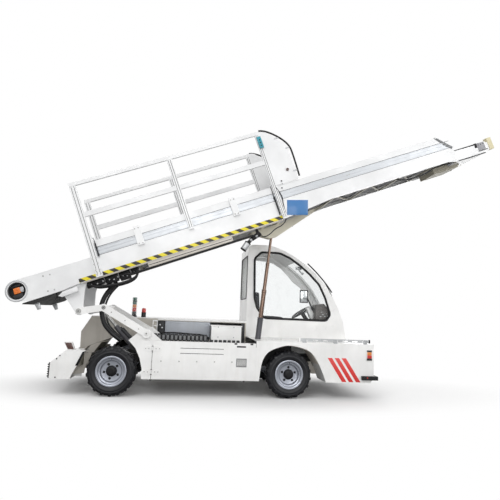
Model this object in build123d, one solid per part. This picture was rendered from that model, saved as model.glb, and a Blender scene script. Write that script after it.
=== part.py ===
from build123d import *
import os
from math import atan2, cos, degrees, hypot, radians, sin

# Self-propelled belt loader: a low electric chassis, a cab on its left half, and beside the cab
# a sloping conveyor boom that a bent rear arm and a telescopic front cylinder carry.
# Millimetres. X runs from the rear to the front, Y to the left, Z up, with the ground at Z = 0.
# Sizes are first written from the rear axle, and every piece is moved to the middle when saved.

# Wheels and axles
WHEELBASE = 2465.0
TYRE_RADIUS = 335.0
TYRE_WIDTH = 200.0
TYRE_SHOULDER = 60.0
FLAT_COUNT = 26
LUG_COUNT = 18
LUG_DEPTH = 14.0
LUG_WIDTH = 36.0
LUG_LEAN = 11.0
RIM_RADIUS = 205.0
RIM_LIP = 14.0
RIM_DISH = 62.0
HUB_RADIUS = 66.0
STUD_CIRCLE = 98.0
STUD_RADIUS = 9.0
STUD_COUNT = 5
REAR_TYRE_FACE = 995.0
FRONT_TYRE_FACE = 965.0
AXLE_RADIUS = 45.0
SPINDLE_RADIUS = 30.0
KINGPIN_Y = 700.0
KINGPIN_RADIUS = 16.0

# Chassis
BODY_HALF = 1000.0
BODY_BOTTOM = 245.0
BODY_FRONT = 1250.0
DECK_TOP = 800.0
DECK_SHEET = 8.0
EDGE_RAIL = 45.0
EDGE_RAIL_START = 640.0
EDGE_RAIL_END = 60.0
EDGE_SLOTS = 7
SHEET = 5.0
RAIL_WIDTH = 70.0
RAIL_HEIGHT = 120.0
RAIL_BOTTOM = 400.0
RAIL_SPREAD = 380.0
RAIL_REAR = -640.0
ARCH_CLEAR = 85.0
ARCH_SHORT = 445.0
ARCH_LONG = 540.0
SIDE_TOP = 760.0
BAY_FLOOR = 700.0
BAY_WALL_Y = 30.0
LEFT_BODY_REAR = -640.0
LEFT_BODY_TOP = 1060.0
REAR_CORNER_X = -785.0
REAR_CORNER_TOP = 607.0
ARCH_EDGE_X = 404.0
DOOR_HINGE_X = 535.0
DOOR_GAP = 6.0
VENT_WIDTH = 130.0
VENT_TO_EDGE = 142.0
BOX_LENGTH = 470.0
BOX_TO_EDGE = 132.0
FRONT_BODY_BACK = 493.0
HINGE_HEIGHTS = (345.0, 655.0)
CHEEK_WIDTH = 270.0
CHEEK_INSET = 20.0

# Cab, with places along it counted from its rear wall
CAB_SEAM = 17.0
CAB_RIGHT = 35.0
CAB_LEFT = 985.0
CAB_WALL = 30.0
CAB_CEILING = 2270.0
SCREEN_LOW = 1130.0
SCREEN_HIGH = 2110.0
REAR_PANE_LOW = 1420.0
REAR_PANE_HIGH = 2160.0
SILL = 1120.0
GLASS = 6.0
SEAL_GAP = 0.3
CAB_DOOR_HINGE = 143.0
CAB_HINGE_OUT = 12.0
CAB_HINGE_HEIGHTS = (1000.0, 1900.0)
HINGE_PIN = 8.0
WHEELHOUSE_INNER = 575.0
COLUMN_FOOT = (1205.0, 1000.0)
COLUMN_LEAN = (-0.55, 0.83)
COLUMN_LENGTH = 300.0
COLUMN_RADIUS = 22.0
STEERING_RADIUS = 175.0
SEAT_X = 225.0
SEAT_HEIGHT = 350.0

# Lift arm: pivot on the chassis, bend, and the boom's pivot, as offsets from the arm's pivot
ARM_PIVOT_X = 429.0
ARM_PIVOT_Z = 848.0
ARM_BEND = (-602.0, 336.0)
ARM_END = (-930.0, 275.0)
ARM_DEPTH = 100.0
ARM_PLATE = 25.0
ARM_RIGHT_Y = -930.0
ARM_LEFT_Y = -70.0
PIN_RADIUS = 25.0
RUNNING_FIT = 0.05
COLLAR_GAP = 0.5
COLLAR_WIDTH = 8.0
COLLAR_LIP = 10.0

# Boom, in its own frame: U along the belt from the rear drum's axis, W square to the belt
BOOM_SLOPE = 21.1
BOOM_RIGHT = -970.0
BOOM_WIDTH = 940.0
BOOM_SKIN = 6.0
PIVOT_U = 672.0
PIVOT_W = -511.0
HOUSING_RADIUS = 147.0
HOUSING_SKIN = 8.0
PLATE_TOP = 142.0
DEEP_BOTTOM = -155.0
COVER_BOTTOM = -182.0
PAN_DEPTH = 48.0
SHALLOW_BOTTOM = -75.0
DEEP_END = 3850.0
SHALLOW_START = 4700.0
PLATE_END = 6900.0
GUARD_START = 1130.0
GUARD_BAND = 115.0
GUARD_CAP = 100.0
GUARD_REACH = 30.0
NOSE_BACK = 300.0
NOSE_LENGTH = 630.0
FRONT_BAYS = 3
BELT_TOP = 100.0
BELT_THICK = 8.0
BELT_WIDTH = 700.0
NOSE_ROLLER = 42.0
NOSE_PAD = 80.0
NOSE_PAD_TOP = 117.0
EYE_U = 3690.0
EYE_W = -281.0

# Handrails on the boom
RAIL_TOP = 1235.0
RAIL_MID = 742.0
RAIL_TUBE = 60.0
RAIL_THICK = 34.0
RAIL_ROUND = 8.0
BLOCKS = (1750.0, 3180.0)
POST_REAR = 1085.0
POST_MIDDLE = 2485.0
POST_FRONT = 3855.0

# Front lift cylinder: base pin on the chassis, then the barrel and three stages
CYL_BACK = 440.0
CYL_BASE_Z = 360.0
CYL_Y = -500.0
BARREL_TOP = 759.0
STAGE_SHOW = (434.0, 430.0)
STAGE_LENGTH = (700.0, 680.0, 660.0)
STAGE_RADIUS = (35.0, 28.0, 21.0)
BARREL_RADIUS = 43.0
STAGE_FIT = 0.08
EYE_RADIUS = 34.0

# Rear lift cylinder
REAR_CYL_Y = -620.0
REAR_CYL_BASE = (210.0, 660.0)
REAR_CYL_LUG = (-42.0, -62.0)
REAR_BARREL_LENGTH = 350.0
REAR_BARREL_RADIUS = 38.0
REAR_ROD_RADIUS = 22.0


# Places that follow from the sizes
FRONT_X = WHEELBASE
ARCH_HEIGHT = 2 * TYRE_RADIUS + ARCH_CLEAR
FRONT_BODY_X = WHEELBASE - FRONT_BODY_BACK
LEFT_BODY_FRONT = FRONT_BODY_X - CAB_SEAM
CAB_REAR = FRONT_BODY_X - CAB_SEAM
CAB_DOOR_HINGE_X = CAB_REAR + CAB_DOOR_HINGE
CYL_BASE_X = WHEELBASE - CYL_BACK
CYL_LUG_REAR = CYL_BASE_X - 145.0
GUARD_END = PLATE_END + GUARD_REACH
NOSE_START = PLATE_END - NOSE_BACK
NOSE_END = PLATE_END + NOSE_LENGTH
NOSE_X = WHEELBASE + BODY_FRONT
INNER_CHEEK = CHEEK_WIDTH - BODY_HALF
LEFT_CHEEK = BODY_HALF - CHEEK_INSET
BOOM_LEFT = BOOM_RIGHT + BOOM_WIDTH
BOOM_MIDDLE = BOOM_RIGHT + BOOM_WIDTH / 2
BEND = (ARM_PIVOT_X + ARM_BEND[0], ARM_PIVOT_Z + ARM_BEND[1])
PIVOT = (ARM_PIVOT_X + ARM_END[0], ARM_PIVOT_Z + ARM_END[1])
SLOPE = radians(BOOM_SLOPE)
DRUM = (
    PIVOT[0] - PIVOT_U * cos(SLOPE) + PIVOT_W * sin(SLOPE),
    PIVOT[1] - PIVOT_U * sin(SLOPE) - PIVOT_W * cos(SLOPE),
)


def boom_xz(u, w):
    """Place of a point of the boom's own frame, seen from the side."""
    return (DRUM[0] + u * cos(SLOPE) - w * sin(SLOPE), DRUM[1] + u * sin(SLOPE) + w * cos(SLOPE))


EYE = boom_xz(EYE_U, EYE_W)
LUG = (BEND[0] + REAR_CYL_LUG[0], BEND[1] + REAR_CYL_LUG[1])
FRONT_CYL_LEAN = degrees(atan2(EYE[0] - CYL_BASE_X, EYE[1] - CYL_BASE_Z))
FRONT_CYL_LENGTH = hypot(EYE[0] - CYL_BASE_X, EYE[1] - CYL_BASE_Z)
REAR_CYL_LEAN = degrees(atan2(LUG[0] - REAR_CYL_BASE[0], LUG[1] - REAR_CYL_BASE[1]))
REAR_CYL_LENGTH = hypot(LUG[0] - REAR_CYL_BASE[0], LUG[1] - REAR_CYL_BASE[1])
REAR_END = DRUM[0] - HOUSING_RADIUS
FRONT_END = boom_xz(NOSE_END + NOSE_PAD, DEEP_BOTTOM / 2)[0]
MIDDLE_X = (REAR_END + FRONT_END) / 2
BOOM_PLACE = Location((DRUM[0], 0, DRUM[1]), (0, -BOOM_SLOPE, 0))
HANGER_FRONT = PIVOT_U + 215
BELT_RADIUS = BELT_TOP - BELT_THICK
NOSE_W = BELT_TOP - BELT_THICK - NOSE_ROLLER
NOSE_U = NOSE_END - NOSE_ROLLER - BELT_THICK - 12

CROSS_MEMBERS = [
    # x, right end, left end
    (RAIL_REAR + 40, INNER_CHEEK, BAY_WALL_Y - 10),
    (470.0, -BODY_HALF + SHEET, BODY_HALF - SHEET),
    (CYL_LUG_REAR, -BODY_HALF + 20, BODY_HALF - SHEET),
    (NOSE_X - 100, -BODY_HALF + SHEET, BODY_HALF - SHEET),
]

CAB_OUTLINE = [
    # x from the cab's rear, z, from the rear roof edge to the front foot
    (0.0, 2300.0), (60.0, 2335.0), (324.0, 2340.0), (446.0, 2318.0), (622.0, 2259.0), (800.0, 2165.0),
    (979.0, 2050.0), (1165.0, 1900.0), (1339.0, 1715.0), (1470.0, 1520.0), (1580.0, 1310.0), (1666.0, 1090.0),
    (1717.0, DECK_TOP),
]
WINDOW_OUTLINE = [
    (105.0, 2100.0), (123.0, 1450.0), (170.0, 1280.0), (295.0, 1112.0), (1370.0, 1105.0), (1437.0, 1210.0),
    (1345.0, 1490.0), (1235.0, 1710.0), (1065.0, 1880.0), (895.0, 2020.0), (715.0, 2140.0), (535.0, 2215.0),
    (215.0, 2215.0),
]
DOOR_OUTLINE = [
    (135.0, 2250.0), (135.0, DECK_TOP + 25), (1385.0, DECK_TOP + 25), (1485.0, 1150.0), (1385.0, 1480.0),
    (1260.0, 1690.0), (1085.0, 1870.0), (910.0, 2030.0), (735.0, 2150.0), (555.0, 2230.0), (425.0, 2250.0),
]


def block(x0, x1, y0, y1, z0, z1):
    """Box between two corners."""
    return Pos((x0 + x1) / 2, (y0 + y1) / 2, (z0 + z1) / 2) * Box(x1 - x0, y1 - y0, z1 - z0)


def outline(points):
    """Face in the XZ plane from (x, z) points."""
    return make_face(Polyline([(x, 0, z) for x, z in points], close=True))


def from_cab(points):
    """Outline whose places along the machine were counted from the cab's rear wall."""
    return [(CAB_REAR + x, z) for x, z in points]


def plate(points, y0, y1, corner=0.0, picks=()):
    """Plate cut from an (x, z) outline between two Y values; the picked corners are rounded."""
    face = outline(points)
    if corner:
        wanted = [points[i] for i in picks] or points
        ends = [v for v in face.vertices() if any(hypot(v.X - x, v.Z - z) < 0.01 for x, z in wanted)]
        face = fillet(ends, corner)
    return Pos(0, y0, 0) * extrude(face, amount=y1 - y0, dir=(0, 1, 0))


def rod_y(x, z, y0, y1, radius, bore=0.0):
    """Round bar or ring that lies along Y."""
    bar = Cylinder(radius, y1 - y0)
    if bore:
        bar -= Cylinder(bore, y1 - y0 + 2)
    return Pos(x, (y0 + y1) / 2, z) * Rot(90, 0, 0) * bar


def bar(start, end, width, height, y_middle):
    """Flat bar between two (x, z) points, with its width along Y."""
    length = hypot(end[0] - start[0], end[1] - start[1])
    angle = degrees(atan2(end[1] - start[1], end[0] - start[0]))
    middle = ((start[0] + end[0]) / 2, y_middle, (start[1] + end[1]) / 2)
    return Location(middle, (0, -angle, 0)) * Box(length, width, height)


def group(*shapes):
    """Separate solids of one node."""
    solids = [s for shape in shapes for s in shape.solids()]
    return Compound(children=solids)


def save(name, shape, place=None):
    """Write one node, moved so that the machine's middle is at the origin."""
    if place is not None:
        shape = place * shape
    shape = Pos(-MIDDLE_X, 0, 0) * shape
    export_step(shape, os.path.join("parts", name + ".step"))


# Wheels
def flats(reach, y):
    """Face with one side for each flat of the tyre, square to its axis."""
    place = Plane(origin=(0, y, 0), x_dir=(1, 0, 0), z_dir=(0, 1, 0))
    return place * RegularPolygon(reach, FLAT_COUNT, major_radius=False)


def tyre_lug():
    """One lug of the tyre's outer row at the bottom, from the tread's middle over the shoulder."""
    lean, step = radians(LUG_LEAN), radians(180.0 / LUG_COUNT)
    shoulder = TYRE_SHOULDER - 28
    corner = LUG_WIDTH / 2 * cos(lean) + (TYRE_WIDTH / 2 - shoulder) * sin(lean)
    top = min(TYRE_RADIUS, (TYRE_RADIUS - corner * sin(step)) / cos(step))
    root = top - LUG_DEPTH - 9
    points = [
        # y, reach from the axis
        (TYRE_WIDTH / 2 + 6, top), (shoulder, top), (2.0, top - 40), (10.0, top - 55),
        (TYRE_SHOULDER - 30, root - 12), (TYRE_WIDTH / 2 + 6, root),
    ]
    face = make_face(Polyline([(0, y, -z) for y, z in points], close=True))
    lug = Pos(-LUG_WIDTH / 2, 0, 0) * extrude(face, amount=LUG_WIDTH, dir=(1, 0, 0))
    middle = Pos(0, TYRE_WIDTH / 2, 0)
    return middle * Rot(0, 0, LUG_LEAN) * middle.inverse() * lug


def tyre():
    """Tyre of flats with two rows of leaning lugs, its outer face at Y = 0 and its width towards +Y."""
    tread = TYRE_RADIUS - LUG_DEPTH
    half = [(0.0, tread - 42), (TYRE_SHOULDER - 22, tread)]
    rows = half + [(TYRE_WIDTH - y, reach) for y, reach in reversed(half)]
    body = loft([flats(reach, y) for y, reach in rows], ruled=True)
    body -= loft([flats(RIM_RADIUS + 0.3, -5), flats(RIM_RADIUS + 0.3, TYRE_WIDTH + 5)])
    for near, deep in ((-2, 16), (TYRE_WIDTH + 2, TYRE_WIDTH - 16)):
        body -= loft([flats(RIM_RADIUS + 39, near), flats(RIM_RADIUS + 3, deep)])
    outer = tyre_lug()
    inner = mirror(outer, Plane.XZ.offset(-TYRE_WIDTH / 2))
    pitch = 360.0 / LUG_COUNT
    lugs = [Rot(0, pitch * k, 0) * outer for k in range(LUG_COUNT)]
    lugs += [Rot(0, pitch * (k + 0.5), 0) * inner for k in range(LUG_COUNT)]
    return body.fuse(*lugs)


def rim():
    """Dished steel wheel with its hub cap, on the same axis as the tyre."""
    disc = RIM_DISH + 10
    section = make_face(Polyline(
        [
            (SPINDLE_RADIUS + RUNNING_FIT, RIM_DISH, 0),
            (STUD_CIRCLE + 25, RIM_DISH, 0),
            (RIM_RADIUS - 55, RIM_DISH - 22, 0),
            (RIM_RADIUS - 40, 14, 0),
            (RIM_RADIUS - RIM_LIP, 6, 0),
            (RIM_RADIUS, 6, 0),
            (RIM_RADIUS, TYRE_WIDTH - 8, 0),
            (RIM_RADIUS - RIM_LIP, TYRE_WIDTH - 8, 0),
            (RIM_RADIUS - RIM_LIP - 6, disc + 12, 0),
            (SPINDLE_RADIUS + RUNNING_FIT, disc + 12, 0),
        ],
        close=True,
    ))
    wheel = revolve(section, Axis.Y)
    cap = Pos(0, RIM_DISH - 26, 0) * Rot(90, 0, 0) * Cylinder(HUB_RADIUS, 54)
    wheel += cap
    stud = Rot(90, 0, 0) * Cylinder(STUD_RADIUS, 20)
    for i in range(STUD_COUNT):
        angle = radians(360.0 * i / STUD_COUNT + 90)
        wheel += Pos(STUD_CIRCLE * cos(angle), RIM_DISH - 8, STUD_CIRCLE * sin(angle)) * stud
    return wheel


def save_wheels():
    """Four tyres and four rims, each on the outer side of its axle end."""
    table = [
        # name, x, side, face
        ("rear_right", 0.0, -1, REAR_TYRE_FACE),
        ("rear_left", 0.0, 1, REAR_TYRE_FACE),
        ("front_right", FRONT_X, -1, FRONT_TYRE_FACE),
        ("front_left", FRONT_X, 1, FRONT_TYRE_FACE),
    ]
    rubber, wheel = tyre(), rim()
    for name, x, side, face in table:
        turn = Location((x, side * face, TYRE_RADIUS), (0, 0, 0 if side < 0 else 180))
        save("tyre_" + name, turn * rubber)
        save("rim_" + name, turn * wheel)


def rear_axle():
    """Rear axle beam with its spindles, a differential bulge and the two seats under the rails."""
    inner = REAR_TYRE_FACE - TYRE_WIDTH - 15
    beam = rod_y(0, TYRE_RADIUS, -inner, inner, AXLE_RADIUS)
    tip = REAR_TYRE_FACE - RIM_DISH - 2
    beam += rod_y(0, TYRE_RADIUS, -tip, tip, SPINDLE_RADIUS)
    beam += Pos(0, 0, TYRE_RADIUS) * Sphere(AXLE_RADIUS + 70)
    for side in (-1, 1):
        y = side * RAIL_SPREAD
        beam += block(-60, 60, y - 45, y + 45, TYRE_RADIUS, RAIL_BOTTOM)
    return beam


def front_axle():
    """Front axle beam with the kingpins that stand in its forked ends."""
    beam = block(FRONT_X - 45, FRONT_X + 45, -KINGPIN_Y + 45, KINGPIN_Y - 45, TYRE_RADIUS - 40, TYRE_RADIUS + 40)
    for side in (-1, 1):
        y = side * RAIL_SPREAD
        beam += block(FRONT_X - 60, FRONT_X + 60, y - 45, y + 45, TYRE_RADIUS, RAIL_BOTTOM)
        y = side * KINGPIN_Y
        for low in (TYRE_RADIUS - 85, TYRE_RADIUS + 60):
            beam += block(FRONT_X - 35, FRONT_X + 35, y - 35, y + 35, low, low + 25)
        inner = side * (KINGPIN_Y - 55)
        beam += block(
            FRONT_X - 35, FRONT_X + 35, min(inner - 12, inner + 12), max(inner - 12, inner + 12),
            TYRE_RADIUS - 85, TYRE_RADIUS + 85,
        )
        beam += block(FRONT_X - 35, FRONT_X + 35, min(y, inner), max(y, inner), TYRE_RADIUS - 85, TYRE_RADIUS - 60)
        beam += block(FRONT_X - 35, FRONT_X + 35, min(y, inner), max(y, inner), TYRE_RADIUS + 60, TYRE_RADIUS + 85)
        beam += Pos(FRONT_X, y, TYRE_RADIUS) * Cylinder(KINGPIN_RADIUS, 170)
    return beam


def knuckle(side):
    """Steering knuckle: a sleeve on the kingpin, the wheel's spindle and a steering arm."""
    y = side * KINGPIN_Y
    tip = side * (FRONT_TYRE_FACE - RIM_DISH - 2)
    body = Pos(FRONT_X, y, TYRE_RADIUS) * Cylinder(33, 119)
    body += rod_y(FRONT_X, TYRE_RADIUS, min(y, tip), max(y, tip), SPINDLE_RADIUS)
    flange = side * (FRONT_TYRE_FACE - TYRE_WIDTH + 8)
    body += rod_y(FRONT_X, TYRE_RADIUS, min(flange, flange - side * 14), max(flange, flange - side * 14), 58)
    body += block(FRONT_X - 150, FRONT_X, y - 15, y + 15, TYRE_RADIUS - 50, TYRE_RADIUS - 30)
    return body - Pos(FRONT_X, y, TYRE_RADIUS) * Cylinder(KINGPIN_RADIUS + RUNNING_FIT, 200)


# Chassis
def chassis_frame():
    """Two box rails, cross members, the lug for the front cylinder and the rear cylinder's lug."""
    front = NOSE_X - 60
    top = RAIL_BOTTOM + RAIL_HEIGHT
    frame = None
    for side in (-1, 1):
        y = side * RAIL_SPREAD
        rail = block(RAIL_REAR, front, y - RAIL_WIDTH / 2, y + RAIL_WIDTH / 2, RAIL_BOTTOM, top)
        frame = rail if frame is None else frame + rail
    for x, right, left in CROSS_MEMBERS:
        frame += block(x - 30, x + 30, right, left, RAIL_BOTTOM + 10, top - 10)
    for y in (CYL_Y - 62, CYL_Y + 50):
        frame += block(CYL_LUG_REAR, CYL_BASE_X + 45, y, y + 12, CYL_BASE_Z - 45, top - 10)
    frame += rod_y(CYL_BASE_X, CYL_BASE_Z, CYL_Y - 62, CYL_Y + 62, PIN_RADIUS)
    x, z = REAR_CYL_BASE
    for y in (REAR_CYL_Y - 48, REAR_CYL_Y + 36):
        frame += plate([(x - 40, z - 30), (x, z + 40), (x + 60, z + 20), (680, top - 10), (590, RAIL_BOTTOM + 10)], y, y + 12)
    frame += rod_y(x, z, REAR_CYL_Y - 48, REAR_CYL_Y + 48, PIN_RADIUS)
    return frame


def arch(centre_x, long_side):
    """Outline of a wheel arch; long_side is 1 where its longer slope lies ahead of the wheel."""
    s = long_side
    rows = [
        # distance along the body, height
        (-ARCH_SHORT * s, BODY_BOTTOM - 20),
        (-(ARCH_SHORT - 32) * s, ARCH_HEIGHT - 240),
        (-(ARCH_SHORT - 110) * s, ARCH_HEIGHT - 110),
        (-(ARCH_SHORT - 230) * s, ARCH_HEIGHT - 50),
        (-40.0 * s, ARCH_HEIGHT),
        (150.0 * s, ARCH_HEIGHT - 25),
        ((ARCH_LONG - 225) * s, ARCH_HEIGHT - 90),
        ((ARCH_LONG - 105) * s, ARCH_HEIGHT - 265),
        (ARCH_LONG * s, BODY_BOTTOM - 20),
    ]
    return [(centre_x + x, z) for x, z in rows]


def front_side(side):
    """Front body's side panel with its wheel arch."""
    y0 = side * BODY_HALF
    y1 = side * (BODY_HALF - SHEET)
    low, high = min(y0, y1), max(y0, y1)
    panel = plate(
        [(FRONT_BODY_X, BODY_BOTTOM), (NOSE_X - 55, BODY_BOTTOM), (NOSE_X, BODY_BOTTOM + 70), (NOSE_X, DECK_TOP - 8),
         (FRONT_BODY_X, DECK_TOP - 8)],
        low, high,
    )
    return panel - plate(arch(FRONT_X, 1), low - 5, high + 5)


def wheelhouse(side):
    """Liner over a front wheel, a strip that follows the arch inwards from the side panel."""
    inner = side * WHEELHOUSE_INNER
    outer = side * (BODY_HALF - SHEET)
    low, high = min(inner, outer), max(inner, outer)
    points = arch(FRONT_X, 1)
    grown = [(FRONT_X + (x - FRONT_X) * 1.01, z + 5) for x, z in points]
    shell = plate(grown, low, high) - plate(points, low - 5, high + 5)
    return shell & block(FRONT_X - 700, FRONT_X + 700, low, high, BODY_BOTTOM, DECK_TOP)


def front_face():
    """Front panel of the body between the two sides, with the bumper's backing."""
    edge = BODY_HALF - SHEET
    panel = block(NOSE_X - SHEET, NOSE_X, -edge, edge, BODY_BOTTOM + 70, DECK_TOP - 8)
    panel += plate(
        [(NOSE_X - 55, BODY_BOTTOM), (NOSE_X, BODY_BOTTOM + 70), (NOSE_X - 5, BODY_BOTTOM + 72),
         (NOSE_X - 60, BODY_BOTTOM + 4)],
        -edge, edge,
    )
    return panel


def rail_brackets():
    """Middle of each bracket of the deck rail, along the deck."""
    first, last = FRONT_BODY_X + EDGE_RAIL_START + 60, NOSE_X - EDGE_RAIL_END - 60
    return [first + k * (last - first) / 2 for k in range(3)]


def rail_foot(x):
    """Foot of a rail bracket, as thick as the deck that it is let into."""
    return block(x - 30, x + 30, -BODY_HALF, -BODY_HALF + 70, DECK_TOP - DECK_SHEET, DECK_TOP)


def deck():
    """Flat deck with a slot that lets the front cylinder lean forward, and the cab's floor beside it."""
    top = block(FRONT_BODY_X, NOSE_X, -BODY_HALF, CAB_RIGHT, DECK_TOP - DECK_SHEET, DECK_TOP)
    top -= block(FRONT_BODY_X - 10, CYL_BASE_X + 420, CYL_Y - 75, CYL_Y + 75, DECK_TOP - 20, DECK_TOP + 20)
    for x in rail_brackets():
        top -= rail_foot(x)
    return group(top, block(FRONT_BODY_X, NOSE_X, CAB_RIGHT, BODY_HALF, DECK_TOP - DECK_SHEET, DECK_TOP))


def deck_rail():
    """Flat rail with a row of slots along the deck's right edge, on three brackets let into the deck."""
    x0, x1 = FRONT_BODY_X + EDGE_RAIL_START, NOSE_X - EDGE_RAIL_END
    y0, foot = -BODY_HALF + 10, DECK_TOP + 12
    rail = block(x0, x1, y0, y0 + 12, foot, foot + EDGE_RAIL)
    pitch = (x1 - x0) / EDGE_SLOTS
    for k in range(EDGE_SLOTS):
        middle = x0 + (k + 0.5) * pitch
        slot = SlotOverall(pitch * 0.55, EDGE_RAIL * 0.3)
        rail -= Pos(middle, y0 + 6, foot + EDGE_RAIL * 0.4) * Rot(90, 0, 0) * extrude(slot, amount=8, both=True)
    for x in rail_brackets():
        rail += block(x - 30, x + 30, y0 + 12, y0 + 18, DECK_TOP - DECK_SHEET, foot + EDGE_RAIL - 4)
        rail += rail_foot(x)
    return rail


def right_body():
    """Right middle body: the post behind the rear arch, the sill, the bay floor and its end wall."""
    edge = -BODY_HALF
    post = plate(
        [(DOOR_HINGE_X - DOOR_GAP, BODY_BOTTOM), (DOOR_HINGE_X - DOOR_GAP, SIDE_TOP), (200.0, SIDE_TOP),
         (300.0, 655.0), (366.0, 523.0), (ARCH_EDGE_X, 380.0), (ARCH_EDGE_X, BODY_BOTTOM)],
        edge, edge + SHEET,
    )
    floor = block(ARCH_EDGE_X - 60, FRONT_BODY_X, edge + 45, BAY_WALL_Y, BAY_FLOOR, BAY_FLOOR + SHEET)
    floor += block(ARCH_EDGE_X + 20, FRONT_BODY_X, edge + SHEET, edge + 45, BAY_FLOOR, BAY_FLOOR + SHEET)
    pan = block(ARCH_EDGE_X + 15, FRONT_BODY_X, edge + SHEET, BAY_WALL_Y, BODY_BOTTOM, BODY_BOTTOM + SHEET)
    rear = block(ARCH_EDGE_X + 15, ARCH_EDGE_X + 20, edge + SHEET, BAY_WALL_Y, BODY_BOTTOM, BAY_FLOOR + SHEET)
    front = block(FRONT_BODY_X - SHEET, FRONT_BODY_X, edge + SHEET, BAY_WALL_Y, BODY_BOTTOM, BAY_FLOOR + SHEET)
    post += block(ARCH_EDGE_X + 15, DOOR_HINGE_X - DOOR_GAP, edge, edge + 40, BODY_BOTTOM, BODY_BOTTOM + SHEET)
    cut = block(0, NOSE_X, -RAIL_SPREAD - 37, -RAIL_SPREAD + 37, RAIL_BOTTOM - 2, RAIL_BOTTOM + RAIL_HEIGHT + 2)
    rear -= block(400, 440, REAR_CYL_Y - 52, REAR_CYL_Y + 52, RAIL_BOTTOM, BAY_FLOOR + 20)
    front -= block(FRONT_BODY_X - 22, FRONT_BODY_X + 18, CYL_Y - 66, CYL_Y + 66, CYL_BASE_Z - 50, RAIL_BOTTOM + RAIL_HEIGHT)
    for z in HINGE_HEIGHTS:
        post += hinge_leaf(z, -1)
        post += Pos(DOOR_HINGE_X - DOOR_GAP / 2, edge - 8, z) * Cylinder(8, 56)
    return post + floor + pan + (rear - cut) + (front - cut)


def hinge_leaf(z, side):
    """Half of an oval hinge strap; side is -1 on the post and 1 on the door."""
    edge = -BODY_HALF
    middle = DOOR_HINGE_X - DOOR_GAP / 2
    oval = Pos(middle, edge - 3, z) * Rot(90, 0, 0) * extrude(Ellipse(122, 42), amount=3, both=True)
    near, far = middle + side * DOOR_GAP / 2, middle + side * 130
    leaf = oval & block(min(near, far), max(near, far), edge - 6, edge, z - 50, z + 50)
    if side > 0:
        leaf -= Pos(middle, edge - 8, z) * Cylinder(13, 60)
    return leaf


def side_door():
    """Access door in the right side, hinged at its rear edge, with two hinge straps."""
    edge = -BODY_HALF
    x0 = DOOR_HINGE_X
    x1 = FRONT_BODY_X - DOOR_GAP
    door = block(x0, x1, edge, edge + SHEET, BODY_BOTTOM + 4, SIDE_TOP)
    door += block(x0 + 40, x1 - 15, edge + SHEET, edge + 35, SIDE_TOP - SHEET, SIDE_TOP)
    vent = FRONT_BODY_X - VENT_TO_EDGE - VENT_WIDTH
    door -= block(vent, vent + VENT_WIDTH, edge - 5, edge + 10, 440, 540)
    for z in HINGE_HEIGHTS:
        door += hinge_leaf(z, 1)
    for k in range(6):
        door += block(vent - 2, vent + VENT_WIDTH + 2, edge, edge + 3, 446 + 16 * k, 454 + 16 * k)
    return door


def left_outline():
    """Side outline of the raised left body."""
    return [
        (LEFT_BODY_REAR, BODY_BOTTOM + 60), (LEFT_BODY_REAR - 10, 800.0), (LEFT_BODY_REAR + 130, LEFT_BODY_TOP - 20),
        (LEFT_BODY_FRONT, LEFT_BODY_TOP - 20), (LEFT_BODY_FRONT, BODY_BOTTOM), (LEFT_BODY_REAR + 60, BODY_BOTTOM),
    ]


def left_body():
    """Raised left body that holds the battery: two sides with arches, the ends and the floor."""
    points = left_outline()
    inner = plate(points, BAY_WALL_Y, BAY_WALL_Y + SHEET)
    outer = plate(points, BODY_HALF - SHEET, BODY_HALF)
    opening = block(500.0, FRONT_BODY_X - 72, BAY_WALL_Y - 5, BAY_WALL_Y + 10, 730.0, 1010.0)
    sides = (inner - opening) + outer
    sides -= plate(arch(0.0, -1), BAY_WALL_Y - 5, BODY_HALF + 5)
    low, high = BAY_WALL_Y + SHEET, BODY_HALF - SHEET
    rear = plate(
        [points[0], points[1], points[2], (points[2][0] + 6, points[2][1] - 4), (points[1][0] + 6, points[1][1]),
         (points[0][0] + 6, points[0][1])],
        low, high,
    )
    front = block(LEFT_BODY_FRONT - SHEET, LEFT_BODY_FRONT, low, high, BODY_BOTTOM, LEFT_BODY_TOP - 20)
    floor = block(460.0, LEFT_BODY_FRONT, low, high, BODY_BOTTOM, BODY_BOTTOM + SHEET)
    liner = arch(0.0, -1)
    grown = [(x * 1.01, z + 5) for x, z in liner]
    strip = (plate(grown, low, high) - plate(liner, low - 5, high + 5))
    strip &= block(-800, 800, low, high, BODY_BOTTOM, LEFT_BODY_TOP - 25)
    y0, y1 = RAIL_SPREAD - RAIL_WIDTH / 2 - 2, RAIL_SPREAD + RAIL_WIDTH / 2 + 2
    slot = block(REAR_CORNER_X, NOSE_X, y0, y1, RAIL_BOTTOM - 2, RAIL_BOTTOM + RAIL_HEIGHT + 2)
    for x, _, _ in CROSS_MEMBERS:
        sides -= block(x - 31, x + 31, BAY_WALL_Y - 5, BAY_WALL_Y + 10, RAIL_BOTTOM + 9, RAIL_BOTTOM + RAIL_HEIGHT - 9)
    return sides + (rear - slot) + (front - slot) + floor + (strip - slot)


def battery_lid():
    """Lid over the battery with a lip that overhangs the bay."""
    lid = block(LEFT_BODY_REAR + 130, LEFT_BODY_FRONT, BAY_WALL_Y, BODY_HALF, LEFT_BODY_TOP - 20, LEFT_BODY_TOP - 10)
    lid += block(520.0, LEFT_BODY_FRONT, BAY_WALL_Y - 12, BAY_WALL_Y, LEFT_BODY_TOP - 40, LEFT_BODY_TOP - 10)
    return fillet(lid.edges().filter_by(Axis.X).sort_by(Axis.Z)[-1], 6)


def battery():
    """Traction battery, one plain block on the left body's floor."""
    return block(660.0, 1340.0, 445.0, BODY_HALF - 60, BODY_BOTTOM + SHEET, 980.0) + block(
        660.0, 1340.0, BAY_WALL_Y + 25, 445.0, RAIL_BOTTOM + RAIL_HEIGHT + 20, 980.0
    )


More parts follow.
